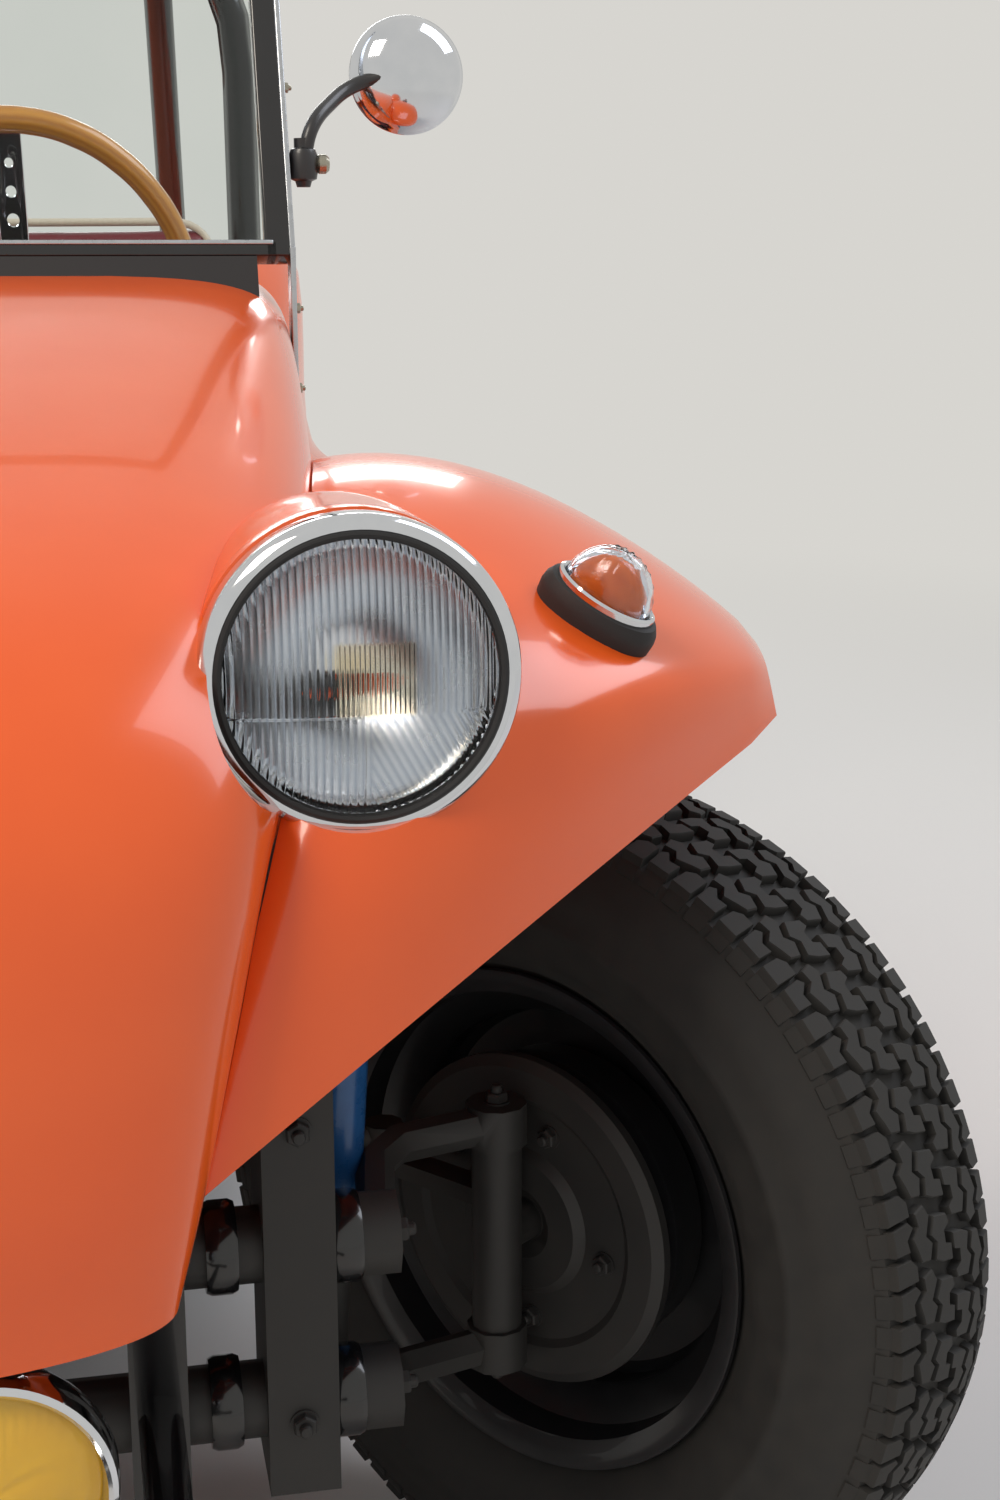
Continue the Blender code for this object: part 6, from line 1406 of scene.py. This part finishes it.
cushion = stuffed("seat_cushion_left",
                  [((SEAT_WIDTH - 0.024, SEAT_DEPTH - 0.022, SEAT_PAD - 0.036), (0, 0, 0)),
                   ((BOLSTER, SEAT_DEPTH - 0.060, 0.045), (SEAT_WIDTH / 2 - 0.042, 0, 0.040)),
                   ((BOLSTER, SEAT_DEPTH - 0.060, 0.045), (0.042 - SEAT_WIDTH / 2, 0, 0.040))],
                  4, 0.010, (SEAT_WIDTH / 2 - 0.062, -0.19, 0.19), 9)
cushion.data.transform(at((SEAT_X, SEAT_FRONT_Y + SEAT_DEPTH / 2, SEAT_LOW + SEAT_PAD / 2 - 0.008)))
back = stuffed("seat_back_left",
               [((SEAT_WIDTH - 0.024, SEAT_BACK_HEIGHT - 0.030, SEAT_BACK_THICK - 0.030), (0, 0, 0)),
                ((BOLSTER, SEAT_BACK_HEIGHT * 0.62, 0.050), (SEAT_WIDTH / 2 - 0.040, -0.060, 0.038)),
                ((BOLSTER, SEAT_BACK_HEIGHT * 0.62, 0.050), (0.040 - SEAT_WIDTH / 2, -0.060, 0.038))],
               4, 0.010, (SEAT_WIDTH / 2 - 0.062, -0.36, 0.33), 9)
back_place = (at((SEAT_X, SEAT_FRONT_Y + SEAT_DEPTH - SEAT_BACK_THICK, SEAT_LOW + SEAT_PAD / 2))
              @ spun(SEAT_LEAN, "X"))
# drawn lying down: its face turns to the front and its length upright
stand = at((0, SEAT_BACK_THICK / 2, SEAT_BACK_HEIGHT / 2)) @ spun(90, "X")
back.data.transform(back_place @ stand)


def hoop_line(wide, low, high, height, flat):
    """A rounded-rectangle loop for piping, lying flat or standing."""
    spots = [(-wide, low), (wide, low), (wide, high), (-wide, high)]
    return [(x, y, height) if flat else (x, height, y) for x, y in spots]


cord_low = tube("seat_cushion_piping_left", hoop_line(SEAT_WIDTH / 2 - 0.012, 0.016, SEAT_DEPTH - 0.016,
    0, True), 0.0042, 0.045, True, 12)
cord_low.data.transform(at((SEAT_X, SEAT_FRONT_Y, SEAT_LOW + SEAT_PAD - 0.034)))
cord_high = tube("seat_back_piping_left", hoop_line(SEAT_WIDTH / 2 - 0.016, 0.10,
    SEAT_BACK_HEIGHT - 0.020, 0, False), 0.0042, 0.055, True, 12)
cord_high.data.transform(back_place @ at((0, 0.021, 0)))
cord_back = moved_copy(cord_high, "seat_back_rear_piping_left",
                       back_place @ at((0, 0.048, 0)) @ back_place.inverted())
rails = [block("rail", (0.030, SEAT_DEPTH * 0.8, 0.022), (SEAT_X + x, SEAT_FRONT_Y + SEAT_DEPTH * 0.5,
    PAN_TOP + 0.012), 2) for x in (-0.14, 0.14)]
rails += [block("frame", (SEAT_WIDTH * 0.8, 0.026, 0.040), (SEAT_X, SEAT_FRONT_Y + y, PAN_TOP + 0.042), 3)
          for y in (0.08, SEAT_DEPTH - 0.08)]
frame_rails = joined("seat_rails_left", *rails)
for stem, pad in (("seat_cushion_", cushion), ("seat_back_", back)):
    for half, word in zip(both(stem, pad, vinyl), ("left", "right")):
        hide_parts("seat_" + word)
both("seat_cushion_piping_", cord_low, piping)
both("seat_back_piping_", cord_high, piping)
both("seat_back_rear_piping_", cord_back, piping)
both("seat_rails_", frame_rails, dusty_black)


# Floor of the tub: moulded rubber mats, ribbed across every 30 mm, lie loose in both foot
# wells.
MAT_X = 0.262
MAT_PITCH = 0.030
for side, word in SIDES:
    mat = [block("mat", (0.330, 0.560, 0.005), (side * MAT_X, FRONT_AXLE_Y + 0.640, PAN_TOP + 0.0045), 1)]
    for i in range(18):
        spot = (side * MAT_X, FRONT_AXLE_Y + 0.385 + i * MAT_PITCH, PAN_TOP + 0.008)
        mat.append(block("rib", (0.300, 0.006, 0.003), spot, 1))
    finish(joined("foot_mat_" + word, *mat), rubber)


# Transaxle and engine: sand-cast alloy cases left bare, finned iron barrels, pressed and
# blacked cooling tinware, belt-driven dynamo, one carburettor under an oil-bath cleaner.
ENGINE_FRONT_Y = FRONT_AXLE_Y + 2.237
ENGINE_LENGTH = 0.400
ENGINE_BACK_Y = ENGINE_FRONT_Y + ENGINE_LENGTH
ENGINE_HALF = 0.120
ENGINE_Z = 0.400
CARBURETTOR = Vector((0, ENGINE_FRONT_Y + 0.275, 0.700))
DISTRIBUTOR = Vector((0.085, ENGINE_BACK_Y - 0.060, 0.590))
BARREL_RADIUS = 0.062
BARREL_HALF = 0.330
PULLEY_RADIUS = 0.072
PULLEY_THICK = 0.016
DYNAMO_Z = 0.640
# Sand-cast alloy: dull silver grey with a 2 mm casting grain, oil-darkened in patches.
cast_alloy = surface("sand_cast_alloy", "cast_alloy", "#A4A6A6", "#7C7E7E", 0.48, 2.0, 0.18, metal=0.85)
kept(cast_alloy, "gearbox", "engine")
kept(black_enamel, "fan_housing")
fins = []
for y in (ENGINE_FRONT_Y + 0.26 * ENGINE_LENGTH, ENGINE_FRONT_Y + 0.70 * ENGINE_LENGTH):
    for side in (1, -1):
        outline = []
        for i in range(13):
            x = ENGINE_HALF + 0.010 + i * 0.0132
            outline += [(BARREL_RADIUS * 0.98, x), (BARREL_RADIUS * 1.27, x + 0.001),
                (BARREL_RADIUS * 1.27, x + 0.003), (BARREL_RADIUS * 0.98, x + 0.004)]
        fins.append(turned("fins", [(BARREL_RADIUS * 0.9, outline[0][1]), *outline,
            (BARREL_RADIUS * 0.9, outline[-1][1]), (BARREL_RADIUS * 0.9, outline[0][1])],
            at((0, y, ENGINE_Z)) @ spun(side * 90, "Y"), 40, 30))
finish(joined("barrel_fins", *fins), cast_alloy)
case_bolts = [((x, ENGINE_BACK_Y, z), (0, 1, 0)) for x in (-0.10, 0.10) for z in (0.31, 0.36, 0.44, 0.49)]
case_bolts += [((x, ENGINE_BACK_Y, z), (0, 1, 0)) for x in (-0.05, 0.05) for z in (0.30, 0.50)]
bolt_set("engine_case_bolts", plating, case_bolts)
grooved = [(0.0, 0.0), (PULLEY_RADIUS, 0.0), (PULLEY_RADIUS + 0.001, 0.003),
    (PULLEY_RADIUS - 0.010, 0.008), (PULLEY_RADIUS - 0.010, 0.012), (PULLEY_RADIUS + 0.001, 0.017),
    (PULLEY_RADIUS, 0.020), (PULLEY_RADIUS - 0.006, 0.020), (PULLEY_RADIUS - 0.010, 0.014),
    (0.026, 0.013), (0.024, 0.019), (0.0, 0.019)]
pulley_y = ENGINE_BACK_Y + PULLEY_THICK / 2 - 0.001
finish(turned("crank_pulley", grooved, at((0, pulley_y, ENGINE_Z)) @ REARWARD, 64), cast_alloy)
small = [(min(r, PULLEY_RADIUS) * 0.76, z) for r, z in grooved]
finish(turned("dynamo_pulley", small, at((0, pulley_y - 0.006, DYNAMO_Z)) @ REARWARD, 64), cast_alloy)
belt_route = []
for centre_z, wide, first in ((ENGINE_Z, PULLEY_RADIUS - 0.004, 180), (DYNAMO_Z, PULLEY_RADIUS * 0.72, 0)):
    for a in range(0, 181, 15):
        turn = math.radians(first + a)
        belt_route.append((wide * math.cos(turn), pulley_y + 0.009, centre_z + wide * math.sin(turn)))
finish(tube("fan_belt", belt_route, 0.0055, 0.006, True, 12), rubber)
carburettor = turned("carburettor", [(0.0, -0.150), (0.020, -0.150), (0.020, -0.090), (0.034, -0.086),
    (0.034, -0.078), (0.026, -0.074), (0.026, -0.030), (0.036, -0.026), (0.036, -0.014), (0.024, -0.010),
    (0.024, 0.012), (0.0, 0.012)], at(CARBURETTOR), 40)
finish(carburettor, cast_alloy)
cleaner = turned("air_cleaner", [(0.0, 0.010), (0.060, 0.010), (0.076, 0.018), (0.078, 0.026),
    (0.078, 0.058), (0.081, 0.060), (0.081, 0.066), (0.074, 0.072), (0.050, 0.080), (0.014, 0.084),
    (0.010, 0.092), (0.0, 0.093)], at(CARBURETTOR), 64)
finish(cleaner, gloss_black)
for side, word in SIDES:
    route = [(side * 0.010, CARBURETTOR.y, 0.560), (side * 0.130, CARBURETTOR.y, 0.560),
             (side * 0.300, ENGINE_FRONT_Y + 0.200, 0.520), (side * 0.318, ENGINE_FRONT_Y + 0.200, 0.450)]
    runner = tube("inlet_pipe_" + word, route, 0.015, 0.05)
    finish(runner, dusty_black)
    cover = block("valve_cover_" + word, (0.018, ENGINE_LENGTH * 0.78, 0.105),
        (side * (BARREL_HALF + BARREL_RADIUS / 2 + 0.006), ENGINE_FRONT_Y + ENGINE_LENGTH * 0.48,
        ENGINE_Z), 7)
    finish(cover, gloss_black)
cap = turned("distributor", [(0.0, -0.080), (0.018, -0.080), (0.018, -0.030), (0.030, -0.026),
    (0.031, 0.006), (0.024, 0.020), (0.0, 0.022)], at(DISTRIBUTOR), 40)
finish(cap, dial_card)
leads = []
for i in range(4):
    x = 0.300 if i < 2 else -0.300
    y = ENGINE_FRONT_Y + (0.13, 0.30)[i % 2]
    turn = math.radians(45 + 90 * i)
    top = DISTRIBUTOR + Vector((0.015 * math.cos(turn), 0.015 * math.sin(turn), 0.016))
    middle = ((x + top.x) / 2, (y + top.y) / 2 + 0.02, 0.585 + 0.012 * i)
    route = [top, top + Vector((0, 0, 0.040)), middle, (x, y, 0.540), (x, y, 0.470)]
    leads.append(tube("lead", route, 0.0035, 0.045, sides=8))
finish(joined("plug_leads", *leads), rubber)
screws = []
for a in range(20, 380, 60):
    turn = math.radians(a)
    spot = (0.100 * math.cos(turn), ENGINE_FRONT_Y + 0.165, DYNAMO_Z + 0.100 * math.sin(turn))
    screws.append((spot, (0, 1, 0)))
bolt_set("fan_cover_screws", plating, screws, 0.6)


# Exhaust: a chromed muffler across the tail, with welded end caps, seams and rolled tips.
MUFFLER_Y = ENGINE_BACK_Y + 0.101
MUFFLER_Z = 0.330
kept(chrome, "exhaust")
muffler = turned("muffler_shell", [(0.0, -0.306), (0.030, -0.305), (0.055, -0.302), (0.064, -0.297),
    (0.0675, -0.293), (0.0675, -0.287), (0.066, -0.285), (0.066, -0.102), (0.0672, -0.100),
    (0.0672, -0.096), (0.066, -0.094), (0.066, 0.094), (0.0672, 0.096), (0.0672, 0.100), (0.066, 0.102),
    (0.066, 0.285), (0.0675, 0.287), (0.0675, 0.293), (0.064, 0.297), (0.055, 0.302), (0.030, 0.305),
    (0.0, 0.306)], at((0, MUFFLER_Y, MUFFLER_Z)) @ ALONG_X, 64)
finish(muffler, chrome)
for side, word in SIDES:
    place = at((side * 0.100, MUFFLER_Y, MUFFLER_Z)) @ REARWARD
    tip = turned("tail_pipe_tip_" + word, [(0.0225, 0.040), (0.0225, 0.127), (0.0240, 0.1295),
        (0.0262, 0.1275), (0.0262, 0.100), (0.0250, 0.098), (0.0250, 0.040), (0.0225, 0.040)], place, 48)
    finish(tip, chrome)
    # a dark plug just inside each tip: soot, and painted shade for the pipe's dark depth
    soot_and_painted_shade = turned("tail_pipe_bore_" + word, [
        (0.0, 0.040), (0.0224, 0.040), (0.0224, 0.1260), (0.0215, 0.1262), (0.0, 0.1258)], place, 32)
    finish(soot_and_painted_shade, rubber)
    clamp = turned("tail_pipe_clamp_" + word, [
        (0.0250, 0.068), (0.0285, 0.070), (0.0285, 0.082), (0.0250, 0.084), (0.0250, 0.068)], place, 40)
    finish(clamp, plating)


# Tail lamps: round chromed cups with domed red lenses, fluted in rings, on the rear mouldings.
TAIL_LAMP_CENTRE = Vector((0.600, REAR_AXLE_Y + 0.400, 0.880))
# Moulded red acrylic: deep, clear gloss over a darker body.
red_acrylic = surface("red_acrylic", "red_lens", "#B8161A", "#8E0E12", 0.12, 25, Coat_Weight=1.0,
    Coat_Roughness=0.03)
place = at(TAIL_LAMP_CENTRE) @ REARWARD
cup = turned("cup", [(0.0, -0.058), (0.041, -0.058), (0.041, 0.018), (0.0425, 0.021), (0.0425, 0.028),
    (0.0405, 0.031), (0.038, 0.029), (0.038, 0.024), (0.0, 0.024)], place, 64)
dome = [(r * (1.0 + 0.012 * math.sin(r * 1500)), z + 0.027) for r, z in arc(0.0372, 0.030, 2, 90, 28)]
lens = turned("lens", [(0.0, 0.057), *dome, (0.0372, 0.0245), (0.0, 0.0245)], place, 64, 70)
for half, word in zip(both("tail_lamp_cup_", cup, chrome), ("left", "right")):
    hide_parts("tail_lamp_" + word)
both("tail_lamp_lens_", lens, red_acrylic)


# Last: the bolt that the others were copied from goes.
bpy.data.objects.remove(bolt, do_unlink=True)
